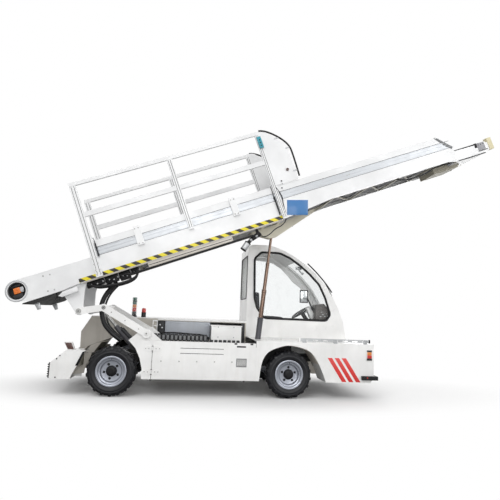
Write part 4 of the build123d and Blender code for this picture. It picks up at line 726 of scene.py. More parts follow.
@dataclass
class Assembly:
    """What every sub-assembly shares: how its shapes become pieces.

    Shapes are laid out in the sub-assembly's own place, and most of its pieces ride on one body.
    """

    place: Matrix = field(default_factory=CHASSIS.copy)
    body: str = "chassis"
    pieces: list[str] = field(default_factory=list)

    def enter(self, name: str, data: bpy.types.Mesh, finish: Finish, sharpest: float) -> bpy.types.Object:
        """Make a smooth object of a mesh.

        Args:
            name: Name of the piece.
            data: Its mesh.
            finish: Its finish.
            sharpest: Turn of an edge that stays sharp, in degrees.

        Returns:
            The new object, which rides on nothing yet.
        """
        data.name = name
        data.materials.clear()
        data.materials.append(finish.material())
        data.polygons.foreach_set("use_smooth", [True] * len(data.polygons))
        data.set_sharp_from_angle(angle=math.radians(sharpest))
        piece = bpy.data.objects.new(name, data)
        bpy.context.scene.collection.objects.link(piece)
        self.pieces.append(name)
        return piece

    def put(self, name: str, shape: Shape, finish: Finish, slot: str, body: str = "",
            replaces: Sequence[str] = ()) -> bpy.types.Object:
        """Make a piece of a shape.

        Args:
            name: Name of the piece.
            shape: Its mesh in the making, which is used up.
            finish: Its finish.
            slot: Name of a material slot; not used.
            body: The body that it rides on; the sub-assembly's own where none is given.
            replaces: CAD nodes that it stands for.

        Returns:
            The new object.
        """
        data = bpy.data.meshes.new(name)
        shape.moved(self.place).bm.to_mesh(data)
        shape.bm.free()
        piece = self.enter(name, data, finish, 32)
        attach(piece, body or self.body)
        if replaces:
            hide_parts(*replaces)
        return piece

    def pipe(self, name: str, points: Sequence[Point], radius: float, finish: Finish, slot: str,
             closed: bool = False, resolution: int = 6, bodies: Sequence[str] = (),
             stiffness: str = "") -> bpy.types.Object:
        """Make a bent round bar, hose or cable.

        Args:
            name: Name of the piece.
            points: Control points of its smooth route.
            radius: Radius of its section.
            finish: Its finish.
            slot: Name of a material slot; not used.
            closed: Whether the route is a loop.
            resolution: Steps between two points.
            bodies: First and last body, where the piece crosses a joint.
            stiffness: How stiff a cord is that hangs between two fittings; a bar has none. Not used.

        Returns:
            The new object, as a mesh.
        """
        route = [self.place @ Vector(p) for p in points]
        curve = bpy.data.curves.new(name + "_route", "CURVE")
        curve.dimensions = "3D"
        curve.resolution_u = resolution
        spline = curve.splines.new("NURBS")
        spline.points.add(len(route) - 1)
        for target, point in zip(spline.points, route):
            target.co = (*point, 1.0)
        spline.order_u = 3
        spline.use_endpoint_u = not closed
        spline.use_cyclic_u = closed
        holder = bpy.data.objects.new(name + "_route", curve)
        bpy.context.scene.collection.objects.link(holder)
        middle = evaluated(holder)
        curve.bevel_depth = radius
        curve.bevel_resolution = 3
        curve.use_fill_caps = True
        piece = self.enter(name, evaluated(holder), finish, 40)
        bpy.data.objects.remove(holder)
        bpy.data.curves.remove(curve)
        bpy.data.meshes.remove(middle)
        if bodies:
            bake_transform(piece)
        else:
            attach(piece, self.body)
        return piece

    def cord(self, name: str, points: Sequence[Point], radius: float, stiffness: str,
             bodies: Sequence[str] = (), resolution: int = 6) -> None:
        """Make a black hose or cable that hangs between two fittings.

        Args:
            name: Name of the piece.
            points: Control points of its smooth route.
            radius: Radius of its section.
            stiffness: How stiff it is.
            bodies: First and last body, where it crosses a joint.
            resolution: Steps between two points.
        """
        self.pipe(name, points, radius, HOSE, "rubber_black", resolution=resolution, bodies=bodies,
                  stiffness=stiffness)

    def report(self) -> None:
        """Log what was made."""
        LOG.info("%s: %d pieces: %s", type(self).__name__, len(self.pieces), ", ".join(self.pieces))


def dress_node(node: str, finish: Optional[Finish]) -> None:
    """Give a CAD node its finish; none stands for glass.

    Args:
        node: Name of the node.
        finish: Its finish.
    """
    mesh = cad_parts[node].data
    mesh.materials.clear()
    mesh.materials.append(finish.material() if finish else glass())


@dataclass
class CadFinishes(Assembly):
    """Finishes of the CAD nodes that stay in view."""

    def dress(self) -> None:
        """Give each CAD node its material."""
        table = {
            WHITE: ("front_body", "deck", "right_body", "battery_lid", "hydraulic_unit", "rear_corner",
                    "arm_brackets", "cab_side_walls", "cab_hoop", "cab_door", "side_door", "lift_arm"),
            WALL: ("left_body",),
            BOOM_WHITE: ("boom_sides", "boom_hanger", "guard_caps", "nose_frame", "handrail_right",
                         "handrail_left"),
            ALU: ("side_guards",),
            BELLY: ("boom_belly",),
            FRAME_BLACK: ("chassis_frame", "axles", "knuckle_right", "knuckle_left", "boom_pan"),
            BARREL_GREY: ("front_barrel", "rear_barrel"),
            BRONZE: ("front_stage_1", "front_stage_2", "front_rod"),
            STEEL: ("belt_drums", "boom_pivot", "rear_rod"),
            GALVANISED: ("deck_rail",),
            BELT: ("belt",),
            RUBBER: ("bumpers",),
            CREAM: ("nose_pads",),
            TYRE: tuple(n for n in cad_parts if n.startswith("tyre_")),
            RIM: tuple(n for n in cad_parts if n.startswith("rim_")),
            GREY_BOX: ("battery",),
            DASH: ("dashboard",),
            PLASTIC: ("steering_wheel", "lights"),
            CLOTH: ("seat",),
        }
        for finish, nodes in table.items():
            for node in nodes:
                dress_node(node, finish)
                self.pieces.append(node)
        for node in ("cab_glass", "door_glass"):
            dress_node(node, None)


@dataclass
class Wheels(Assembly):
    """Four tyres with diagonal lugs, each on a dished steel rim."""

    radius: float = 0.335
    carcass: float = 0.322
    bead: float = 0.2055
    lugs: int = 18
    lug_lean: float = 0.060
    # width at the tread's middle and what it gains at the shoulder
    lug_width: tuple = (0.033, 0.012)
    # share of that width at the lug's root and what it loses at the top
    lug_draft: tuple = (1.25, 0.35)
    lug_edge: float = 0.0022
    stud_circle: float = 0.098
    studs: int = 5
    # where the first stud stands, in degrees
    front_turn: float = 90.0
    rear_turn: float = 116.0
    table: tuple = (
        # name, side by the sign of Y, whether it stands on the front axle
        ("rear_right", -1, False),
        ("rear_left", 1, False),
        ("front_right", -1, True),
        ("front_left", 1, True),
    )
    # share of the way from the tread's middle, radius and height of the lug's top, and of its root
    lug_path: tuple = (
        (0.00, 0.3350, 0.003, 0.316, 0.003),
        (0.30, 0.3350, 0.036, 0.316, 0.036),
        (0.58, 0.3335, 0.066, 0.313, 0.060),
        (0.78, 0.3220, 0.0885, 0.302, 0.074),
        (1.00, 0.2900, 0.0990, 0.284, 0.084),
    )

    def seat(self, name: str, side: int) -> Matrix:
        """Find the matrix from a wheel's own frame, with +Z outwards, to its place.

        Args:
            name: The wheel's name.
            side: The machine's side.

        Returns:
            The matrix.
        """
        low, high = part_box("tyre_" + name)
        turn = Matrix(((1, 0, 0), (0, 0, side), (0, -side, 0))).to_4x4()
        return Matrix.Translation((low + high) / 2) @ turn

    def lug(self) -> bmesh.types.BMesh:
        """Bend one tread lug from the middle of the tread over the shoulder.

        Returns:
            The lug, at the wheel's +X.
        """
        own = bmesh.new()
        bmesh.ops.create_cube(own, size=1.0)
        long_edges = [e for e in own.edges if abs(e.verts[0].co.z - e.verts[1].co.z) > 0.5]
        bmesh.ops.subdivide_edges(own, edges=long_edges, cuts=5, use_grid_fill=True)
        for vert in own.verts:
            share = vert.co.z + 0.5
            rows = self.lug_path
            index = max(i for i in range(len(rows) - 1) if rows[i][0] <= share + 1e-6)
            first, last = rows[index], rows[index + 1]
            part = (share - first[0]) / (last[0] - first[0])
            top_r, top_h, root_r, root_h = (first[k] + (last[k] - first[k]) * part for k in range(1, 5))
            up = vert.co.y + 0.5
            reach = root_r + (top_r - root_r) * up
            height = root_h + (top_h - root_h) * up
            wide = self.lug_width[0] + self.lug_width[1] * share
            wide *= self.lug_draft[0] - self.lug_draft[1] * up
            angle = self.lug_lean * share + vert.co.x * wide / self.radius
            vert.co = (reach * math.cos(angle), reach * math.sin(angle), height)
        bmesh.ops.recalc_face_normals(own, faces=own.faces)
        rim_edges = [e for e in own.edges if e.calc_face_angle(0.0) > 0.7]
        bmesh.ops.bevel(own, geom=rim_edges, offset=self.lug_edge, segments=1, profile=0.5, affect="EDGES",
                        material=-1)
        return own

    def tyre(self, side: int) -> Shape:
        """Carcass, sidewall ribs and both rows of lugs, in the wheel's own frame.

        Args:
            side: The machine's side, which says where the first lug stands.

        Returns:
            The tyre, with a lug of the outer row at its lowest place.
        """
        half = [(self.bead, 0.084), (0.2200, 0.0935), (0.2440, 0.0980), (0.2480, 0.0998), (0.2540, 0.0998),
                (0.2570, 0.0978), (0.2760, 0.0960), (0.2790, 0.0975), (0.2830, 0.0968), (0.2860, 0.0930),
                (0.3050, 0.0840), (0.3170, 0.0680), (self.carcass, 0.0400)]
        rows = half + [(r, -h) for r, h in reversed(half)]
        shape = Shape().turned(rows, (0, 0, 0), UP, 96, True)
        data = bpy.data.meshes.new("lug")
        own = self.lug()
        own.to_mesh(data)
        own.free()
        for row, flip in ((0, 1), (1, -1)):
            for k in range(self.lugs):
                before = set(shape.bm.verts)
                shape.bm.from_mesh(data)
                new = [v for v in shape.bm.verts if v not in before]
                phase = side * math.pi / 2 - self.lug_lean / 2
                turn = Matrix.Rotation(phase + math.tau * (k + 0.5 * row) / self.lugs, 4, "Z")
                mirror = Matrix.Diagonal((1, 1, flip, 1))
                bmesh.ops.transform(shape.bm, matrix=turn @ mirror, verts=new)
                if flip < 0:
                    faces = {f for v in new for f in v.link_faces}
                    bmesh.ops.reverse_faces(shape.bm, faces=list(faces))
        bpy.data.meshes.remove(data)
        return shape

    def rim(self) -> Shape:
        """Turn the stepped dish with its lip.

        Returns:
            The rim, in the wheel's own frame.
        """
        rows = [(0.031, 0.038), (0.122, 0.038), (0.132, 0.0405), (0.141, 0.050), (0.1455, 0.062),
                (0.149, 0.068), (0.160, 0.0705), (0.167, 0.0735), (0.173, 0.0850), (0.179, 0.0905),
                (0.190, 0.0938), (0.199, 0.0940), (0.2045, 0.0915), (0.2048, -0.092), (0.196, -0.092),
                (0.190, -0.082), (0.187, 0.022), (0.031, 0.022)]
        return Shape().turned(rows, (0, 0, 0), UP, 96, True)

    def hub(self, front: bool) -> Shape:
        """Hub cap, wheel nuts and the valve.

        Args:
            front: Whether the wheel stands on the front axle; the rear nuts stand a little turned.

        Returns:
            The pieces, in the wheel's own frame.
        """
        rows = [(0.0, 0.0895), (0.030, 0.0890), (0.033, 0.0860), (0.050, 0.0845), (0.060, 0.0780),
                (0.0655, 0.0660), (0.0660, 0.0385), (0.0740, 0.0380), (0.0740, 0.0375), (0.0, 0.0375)]
        shape = Shape().turned(rows, (0, 0, 0), UP, 48, True)
        for k in range(self.studs):
            angle = math.tau * k / self.studs + math.radians(self.front_turn if front else self.rear_turn)
            x, y = self.stud_circle * math.cos(angle), self.stud_circle * math.sin(angle)
            shape.rod((x, y, 0.0378), (x, y, 0.0400), 0.0180, 24, 0.0165)
            shape.rod((x, y, 0.0395), (x, y, 0.048), 0.0130, 6, round_by=0.0012)
            shape.rod((x, y, 0.047), (x, y, 0.055), 0.0065, 12, round_by=0.001)
        return shape.rod((0.0, 0.172, 0.076), (0.0, 0.160, 0.096), 0.004, 10)

    def build(self) -> None:
        """Make the four wheels."""
        for name, side, front in self.table:
            self.place = self.seat(name, side)
            body = "wheel_" + name
            self.put("tread_" + name, self.tyre(side), TYRE, "tyre_black", body, ["tyre_" + name])
            self.put("dish_" + name, self.rim(), RIM, "rim_silver", body, ["rim_" + name])
            self.put("hub_" + name, self.hub(front), HUB_BLACK, "dark_trim", body)


@dataclass
class Boom(Assembly):
    """Trim of the conveyor boom, laid out along the belt (u), across (y) and square to it (w)."""

    place: Matrix = field(default_factory=BOOM.copy)
    body: str = "boom"
    plate_top: float = 0.142
    band: float = 0.115
    guard_start: float = 1.130
    guard_end: float = 6.930
    housing: float = 0.147
    # lowest and highest corner of the striped edge, as u and w
    strip: tuple = ((0.80, -0.1515), (3.83, -0.0965))
    valves: tuple = (
        # place along the boom, y of the outer face, depth, length
        (0.860, -0.885, 0.085, 0.240),
        (1.120, -0.888, 0.110, 0.180),
        (1.320, -0.885, 0.125, 0.150),
        (1.490, -0.880, 0.080, 0.110),
    )
    valve_top: float = -0.165

    def stripes(self) -> None:
        """Yellow and black strip on the lower edge of each side plate."""
        for side, y, out in BOOM_FACES:
            strip = Shape().plate(*self.strip, y, out * 0.0014, 0.0004)
            self.put("edge_stripes_" + side, strip, YELLOW_BLACK, "boom_white")

    def band_shadow_lines(self) -> None:
        """Painted shadow line under the cap rail, a dark line along the aluminium band's lower edge, and the
        band's pressed ribs.
        """
        for side, y, out in BOOM_FACES:
            lines, ribs = Shape(), Shape()
            # The upper dark line stands for the painted shadow under the cap rail.
            for rise, high in ((-0.004, 0.005), (self.band - 0.003, 0.006)):
                w = self.plate_top + rise
                lines.plate((self.guard_start, w), (self.guard_end - 0.06, w + high), y, out * 0.0012, 0.0003)
            for rise in (0.012, 0.058, 0.098):
                w = self.plate_top + rise
                end = self.guard_end - 0.055 - rise
                ribs.plate((self.guard_start, w), (end, w + 0.006), y, out * 0.0030, 0.0012)
            self.put("guard_shadow_lines_" + side, lines, RUBBER, "rubber_black")
            self.put("guard_ribs_" + side, ribs, ALU, "guard_alu")

    def bolts(self) -> None:
        """Bolts of the side plates, the bracket blocks and the posts' feet."""
        flat = [(0.374, 0.089), (0.465, 0.080), (0.380, -0.128), (0.465, -0.135), (5.02, 0.20), (5.06, 0.20)]
        raised = [(u, w) for u in (1.725, 1.775, 3.155, 3.205) for w in (0.125, 0.345)]
        raised += [(u, w) for u in (1.060, 1.110, 3.838, 3.872) for w in (-0.120, -0.060, 0.03, 0.11)]
        shape = Shape()
        for _, y, out in BOOM_FACES:
            for places, start in ((flat, y), (raised, y + out * 0.034)):
                shape.pegs(places, start, out * 0.0035, 0.0105, 16, 0.0008)
                shape.pegs(places, start, out * 0.0060, 0.0065, 6, 0.0008)
        self.put("boom_bolts", shape, STEEL, "drum_steel")

    def drum_end(self) -> None:
        """What shows in the open ends of the drum housing: ring, orange motor and its dark bracket."""
        for side, y, out in BOOM_FACES:
            face, deep = y - out * 0.020, -out * 0.036
            lip = Shape().ring((0, y - out * 0.004, 0), ACROSS, self.housing + 0.001, self.housing - 0.020,
                               0.012, 72, 0.002)
            lining = Shape().ring((0, y - out * 0.031, 0), ACROSS, 0.1165, 0.1135, 0.042, 72)
            back = Shape().rod((0, y - out * 0.0595, 0), (0, y - out * 0.051, 0), 0.1130, 72)
            back.plate((-0.088, 0.050), (0.060, 0.082), face, -out * 0.032, 0.008)
            ring = Shape().ring((0.056, y - out * 0.036, 0.010), ACROSS, 0.030, 0.016, 0.020, 40, 0.002)
            ring.plate((0.040, -0.030), (0.078, 0.040), y - out * 0.030, -out * 0.020, 0.004)
            motor = Shape().plate((-0.045, -0.035), (0.040, 0.045), face, deep, 0.006)
            motor.ring((-0.003, y - out * 0.019, 0.006), ACROSS, 0.026, 0.014, 0.010, 32, 0.002)
            foot = Shape().plate((-0.070, -0.100), (0.060, -0.045), face, deep, 0.006)
            for name, shape, finish, slot in (
                ("housing_lip_", lip, GALVANISED, "boom_white"),
                ("housing_lining_", lining, GREY_BOX, "dark_trim"),
                ("housing_back_", back, HUB_BLACK, "dark_trim"),
                ("housing_ring_", ring, GALVANISED, "drum_steel"),
                ("drum_motor_", motor, ORANGE, "light_shells"),
                ("drum_motor_foot_", foot, PLASTIC, "dark_trim"),
            ):
                self.put(name + side, shape, finish, slot)

    def rear_parts(self) -> None:
        """Covers, hooks and brackets under the boom's rear end."""
        covers, hooks, brackets = Shape(), Shape(), Shape()
        cover = [(0.485, -0.234), (0.548, -0.198), (0.756, -0.182), (0.750, -0.251), (0.530, -0.263)]
        bracket = [(0.150, -0.225), (0.225, -0.225), (0.215, -0.325), (0.170, -0.325)]
        for _, y, out in BOOM_FACES:
            covers.outline(cover, y - out * 0.004, -out * 0.012, 0.003)
            brackets.outline(bracket, y - out * 0.050, -out * 0.020, 0.003)
            middle = y - out * 0.045
            hooks.ring((0.462, middle, -0.268), ACROSS, 0.034, 0.020, 0.016, 32, 0.003)
            hooks.rod((0.462, middle, -0.236), (0.470, middle, -0.150), 0.010, 16)
        self.put("rear_covers", covers, BOOM_WHITE, "boom_white")
        self.put("rear_hooks", hooks, RUBBER, "rubber_black")
        self.put("rear_brackets", brackets, GALVANISED, "drum_steel")

    def under(self) -> None:
        """Channels under the side plates, the cable in the right one, and diagonal braces."""
        channel = Shape()
        for _, y, out in BOOM_FACES:
            channel.plate((0.84, -0.171), (3.83, -0.157), y - out * 0.004, -out * 0.048, 0.002)
        y = BOOM_RIGHT
        channel.plate((1.75, -0.236), (3.01, -0.172), y + 0.004, 0.048, 0.004)
        grooves = Shape().plate((1.76, -0.208), (3.00, -0.199), y + 0.0035, 0.0025, 0.0005)
        cable = Shape().rod((1.52, y + 0.032, -0.250), (3.32, y + 0.032, -0.250), 0.0160, 20, round_by=0.003)
        cable.rod((1.52, y + 0.032, -0.250), (1.38, y + 0.060, -0.215), 0.0160, 20)
        # The channels' beige is painted shade on white paint.
        self.put("cable_channels", channel, SHADE_BEIGE, "boom_white")
        self.put("channel_grooves", grooves, RUBBER, "rubber_black")
        self.put("channel_cables", cable, HOSE, "rubber_black")
        braces = Shape()
        for start, end in ((1.64, 2.28), (2.34, 2.98)):
            braces.rod((start, BOOM_LEFT - 0.06, -0.130), (end, BOOM_RIGHT + 0.06, -0.130), 0.014, 16)
        self.put("belly_braces", braces, GALVANISED, "boom_white")

    def hydraulics(self) -> None:
        """Valve blocks under the boom's rear half, with their fittings and hoses."""
        blocks, fittings = Shape(), Shape()
        for u, y, deep, long in self.valves:
            blocks.plate((u, self.valve_top - deep), (u + long, self.valve_top), y, 0.090, 0.010)
            for k in range(3):
                x = u + long * (k + 0.5) / 3
                w = self.valve_top - deep * (0.35 + 0.15 * (k % 2))
                blocks.pegs([(x, w)], y - 0.003, -0.025, 0.016, 20, 0.003)
                fittings.pegs([(x + 0.030, w - 0.020)], y - 0.002, -0.014, 0.010, 6, 0.002)
        self.put("valve_blocks", blocks, HUB_BLACK, "dark_trim")
        self.put("valve_fittings", fittings, GALVANISED, "drum_steel")
        for k, (y, dip) in enumerate(((-0.900, 0.0), (-0.870, 0.018), (-0.840, -0.012))):
            route = [(0.880 + 0.020 * k, y, -0.190), (0.960, y, -0.262 - dip), (1.150, y, -0.300 - dip),
                     (1.330, y, -0.330 - dip), (1.500, y, -0.318 - dip), (1.580, y, -0.262),
                     (1.600, y, -0.170)]
            self.cord(f"valve_hose_{k}", route, 0.0145, "stiff", resolution=8)

    def nose(self) -> None:
        """Flange line, end of the aluminium band, and the grey box of the nose with its bolts."""
        flanges, ends, boxes, trim = Shape(), Shape(), Shape(), Shape()
        end = [(6.640, 0.352), (6.690, 0.352), (6.905, 0.142), (6.872, 0.112), (6.790, 0.178)]
        for _, y, out in BOOM_FACES:
            flanges.plate((6.92, -0.114), (7.43, -0.098), y - out * 0.006, out * 0.010, 0.002)
            ends.outline(end, y, out * 0.0016, 0.0004)
            face, deep = y - out * 0.001, -out * 0.039
            boxes.plate((7.330, -0.045), (7.470, 0.080), face, deep, 0.006)
            trim.plate((7.285, 0.010), (7.328, 0.088), face, deep, 0.006)
            trim.plate((7.320, -0.060), (7.500, -0.047), face, deep, 0.003)
            bolts = [(u, 0.050) for u in (7.355, 7.400, 7.445)]
            trim.pegs(bolts, min(face, face + deep) - 0.002, 0.006, 0.008, 20)
        self.put("nose_flanges", flanges, FRAME_BLACK, "frame_grey")
        self.put("guard_end_lines", ends, GREY_BOX, "guard_alu")
        self.put("nose_boxes", boxes, CASE_LIGHT, "dark_trim")
        self.put("nose_box_trim", trim, HUB_BLACK, "dark_trim")

    def sign(self) -> None:
        """Blank blue plate on each side of the boom, and two dots on the end panel above it."""
        plates, dots = Shape(), Shape()
        corners = [(3.979, 0.105), (4.290, 0.011), (4.211, -0.207), (3.902, -0.112)]
        for _, y, out in BOOM_FACES:
            plates.outline(corners, y, out * 0.0018, 0.0005)
            dots.pegs([(3.986, 0.401), (3.957, 0.297)], y + out * 0.030, out * 0.008, 0.011, 20, 0.002)
        self.put("blue_signs", plates, BLUE_SIGN, "boom_white")
        self.put("panel_dots", dots, PLASTIC, "dark_trim")

    def cables(self) -> None:
        """Cable loop, hose under the front and hanging connector."""
        y = BOOM_RIGHT - 0.012
        loop = [(3.870, y - 0.020, 0.330), (3.930, y - 0.010, 0.190), (3.894, y, 0.050), (3.886, y, -0.155),
                (3.800, y, -0.235), (3.657, y, -0.258), (3.580, y + 0.010, -0.300),
                (3.500, y + 0.030, -0.325), (3.430, y + 0.050, -0.300), (3.410, y + 0.060, -0.180)]
        self.cord("cable_loop", loop, 0.0075, "limp")
        low = [(u, y + 0.06, w) for u, w in ((5.816, -0.085), (5.900, -0.140), (6.150, -0.150),
                                             (6.400, -0.125), (6.473, -0.090))]
        self.cord("front_hose", low, 0.012, "stiff")
        y = -0.895
        connector, bands = Shape(), Shape()
        for shape, start, end, radius, sides, edge in (
            (connector, (3.120, -0.398), (3.210, -0.330), 0.044, 32, 0.006),
            (connector, (3.255, -0.302), (3.285, -0.292), 0.034, 6, 0.002),
            (connector, (3.350, -0.270), (3.385, -0.262), 0.038, 6, 0.002),
            (bands, (3.112, -0.404), (3.124, -0.395), 0.048, 32, 0.003),
            (bands, (3.208, -0.332), (3.222, -0.322), 0.048, 32, 0.003),
            (bands, (3.215, -0.327), (3.300, -0.287), 0.027, 24, 0.003),
            (bands, (3.290, -0.291), (3.445, -0.252), 0.031, 24, 0.004),
            (bands, (3.400, -0.262), (3.400, -0.165), 0.020, 24, 0.0),
        ):
            shape.rod((start[0], y, start[1]), (end[0], y, end[1]), radius, sides, round_by=edge)
        bands.rod((3.315, y - 0.020, -0.262), (3.430, y - 0.020, -0.232), 0.020, 24, round_by=0.004)
        self.put("connector", connector, GALVANISED, "boom_white")
        self.put("connector_bands", bands, RUBBER, "rubber_black")

    def build(self) -> None:
        """Make all of the boom's trim."""
        self.stripes()
        self.band_shadow_lines()
        self.bolts()
        self.drum_end()
        self.rear_parts()
        self.under()
        self.hydraulics()
        self.nose()
        self.sign()
        self.cables()


@dataclass
class Handrails(Assembly):
    """Lines, struts, soft edges and control units on both handrails, laid out as the boom is."""

    place: Matrix = field(default_factory=BOOM.copy)
    body: str = "boom"
    top: float = 1.235
    tube: float = 0.060
    thick: float = 0.034
    posts: tuple = (
        # place along the boom, width, foot
        (1.085, 0.090, -0.155),
        (2.485, 0.070, 0.102),
        (3.855, 0.062, -0.155),
    )
    gas_struts: tuple = (
        # place along the boom, foot, top, way to its post
        (1.150, 0.12, 0.39, -1),
        (3.800, -0.08, 0.38, 1),
    )

    def faces(self) -> list[tuple[str, float, int]]:
        """Find the outer face of each handrail.

        Returns:
            Its side, its Y and the way out.
        """
        return [(side, y + out * self.thick, out) for side, y, out in BOOM_FACES]

    def grooves(self) -> None:
        """Slots of the extruded posts, on their outer and inner faces."""
        high = self.top - self.tube - 0.004
        for side, y, out in self.faces():
            shape = Shape()
            for u, width, foot in self.posts:
                for face, way, low in ((y, out, foot + 0.02), (y - out * self.thick, -out, 0.37)):
                    for middle in (u - width * 0.22, u + width * 0.22):
                        shape.plate((middle - 0.003, low), (middle + 0.003, high), face, way * 0.0008, 0.0002)
            self.put("post_slots_" + side, shape, PLASTIC, "dark_trim")

    def struts(self) -> None:
        """Gas struts beside the rear and front posts."""
        for side, y, out in self.faces():
            mid = y - out * self.thick / 2
            rods, ends = Shape(), Shape()
            for u, low, high, way in self.gas_struts:
                joint = (low + high) / 2 + 0.06
                rods.rod((u, mid, low), (u, mid, joint), 0.011, 20, round_by=0.002)
                rods.rod((u, mid, joint), (u, mid, high), 0.005, 16)
                near, far = sorted((u, u + way * 0.03))
                for w in (low, high):
                    ends.plate((near - 0.006, w - 0.010), (far + 0.006, w + 0.010), mid - 0.006, 0.012, 0.002)
            self.put("gas_struts_" + side, rods, PLASTIC, "dark_trim")
            self.put("strut_ends_" + side, ends, GALVANISED, "drum_steel")

    def soft_edge(self) -> None:
        """Black foam edge that stands off the end panel, with its clamps."""
        for side, y, out in self.faces():
            mid = y - out * 0.012
            route = [(u, mid, w) for u, w in ((3.905, 1.238), (4.010, 1.228), (4.294, 0.944), (4.300, 0.700),
                                              (4.283, 0.403))]
            self.pipe("foam_edge_" + side, route, 0.0135, RUBBER, "rubber_black", resolution=8)
            clamps = Shape()
            for u, w in ((4.262, 0.870), (4.262, 0.500), (4.140, 1.060)):
                clamps.plate((u - 0.045, w - 0.010), (u + 0.030, w + 0.010), mid - 0.008, 0.016, 0.002)
            self.put("foam_clamps_" + side, clamps, GALVANISED, "boom_white")

    def controls(self) -> None:
        """Control unit on the front post with its buttons, and the knob of the end panel."""
        for side, y, out in self.faces():
            case = Shape().plate((3.832, 0.965), (3.898, 1.145), y + out * 0.001, out * 0.029, 0.008)
            places = [(3.865, 1.000 + 0.045 * k) for k in range(3)]
            buttons = Shape().pegs(places, y + out * 0.030, out * 0.006, 0.010, 20, 0.002)
            knob = Shape().pegs([(4.135, 0.545)], y - out * 0.010, out * 0.020, 0.024, 32, 0.004, 0.020)
            self.put("control_case_" + side, case, TEAL, "dark_trim")
            self.put("control_buttons_" + side, buttons, PLASTIC, "dark_trim")
            self.put("panel_knob_" + side, knob, TAIL_BROWN, "light_shells")

    def build(self) -> None:
        """Make both handrails' trim."""
        self.grooves()
        self.struts()
        self.soft_edge()
        self.controls()


def rounded(points: Sequence[Point], cut: float) -> list[Vector]:
    """Loop with points added beside each corner, so that a smooth line keeps its straight runs.

    Args:
        points: Corners of the loop.
        cut: How far from a corner the line starts to turn.

    Returns:
        The new points.
    """
    corners = [Vector(p) for p in points]
    route = []
    for index, corner in enumerate(corners):
        back = corners[index - 1] - corner
        on = corners[(index + 1) % len(corners)] - corner
        route += [corner + back.normalized() * min(cut, back.length * 0.4), corner,
                  corner + on.normalized() * min(cut, on.length * 0.4)]
    return route


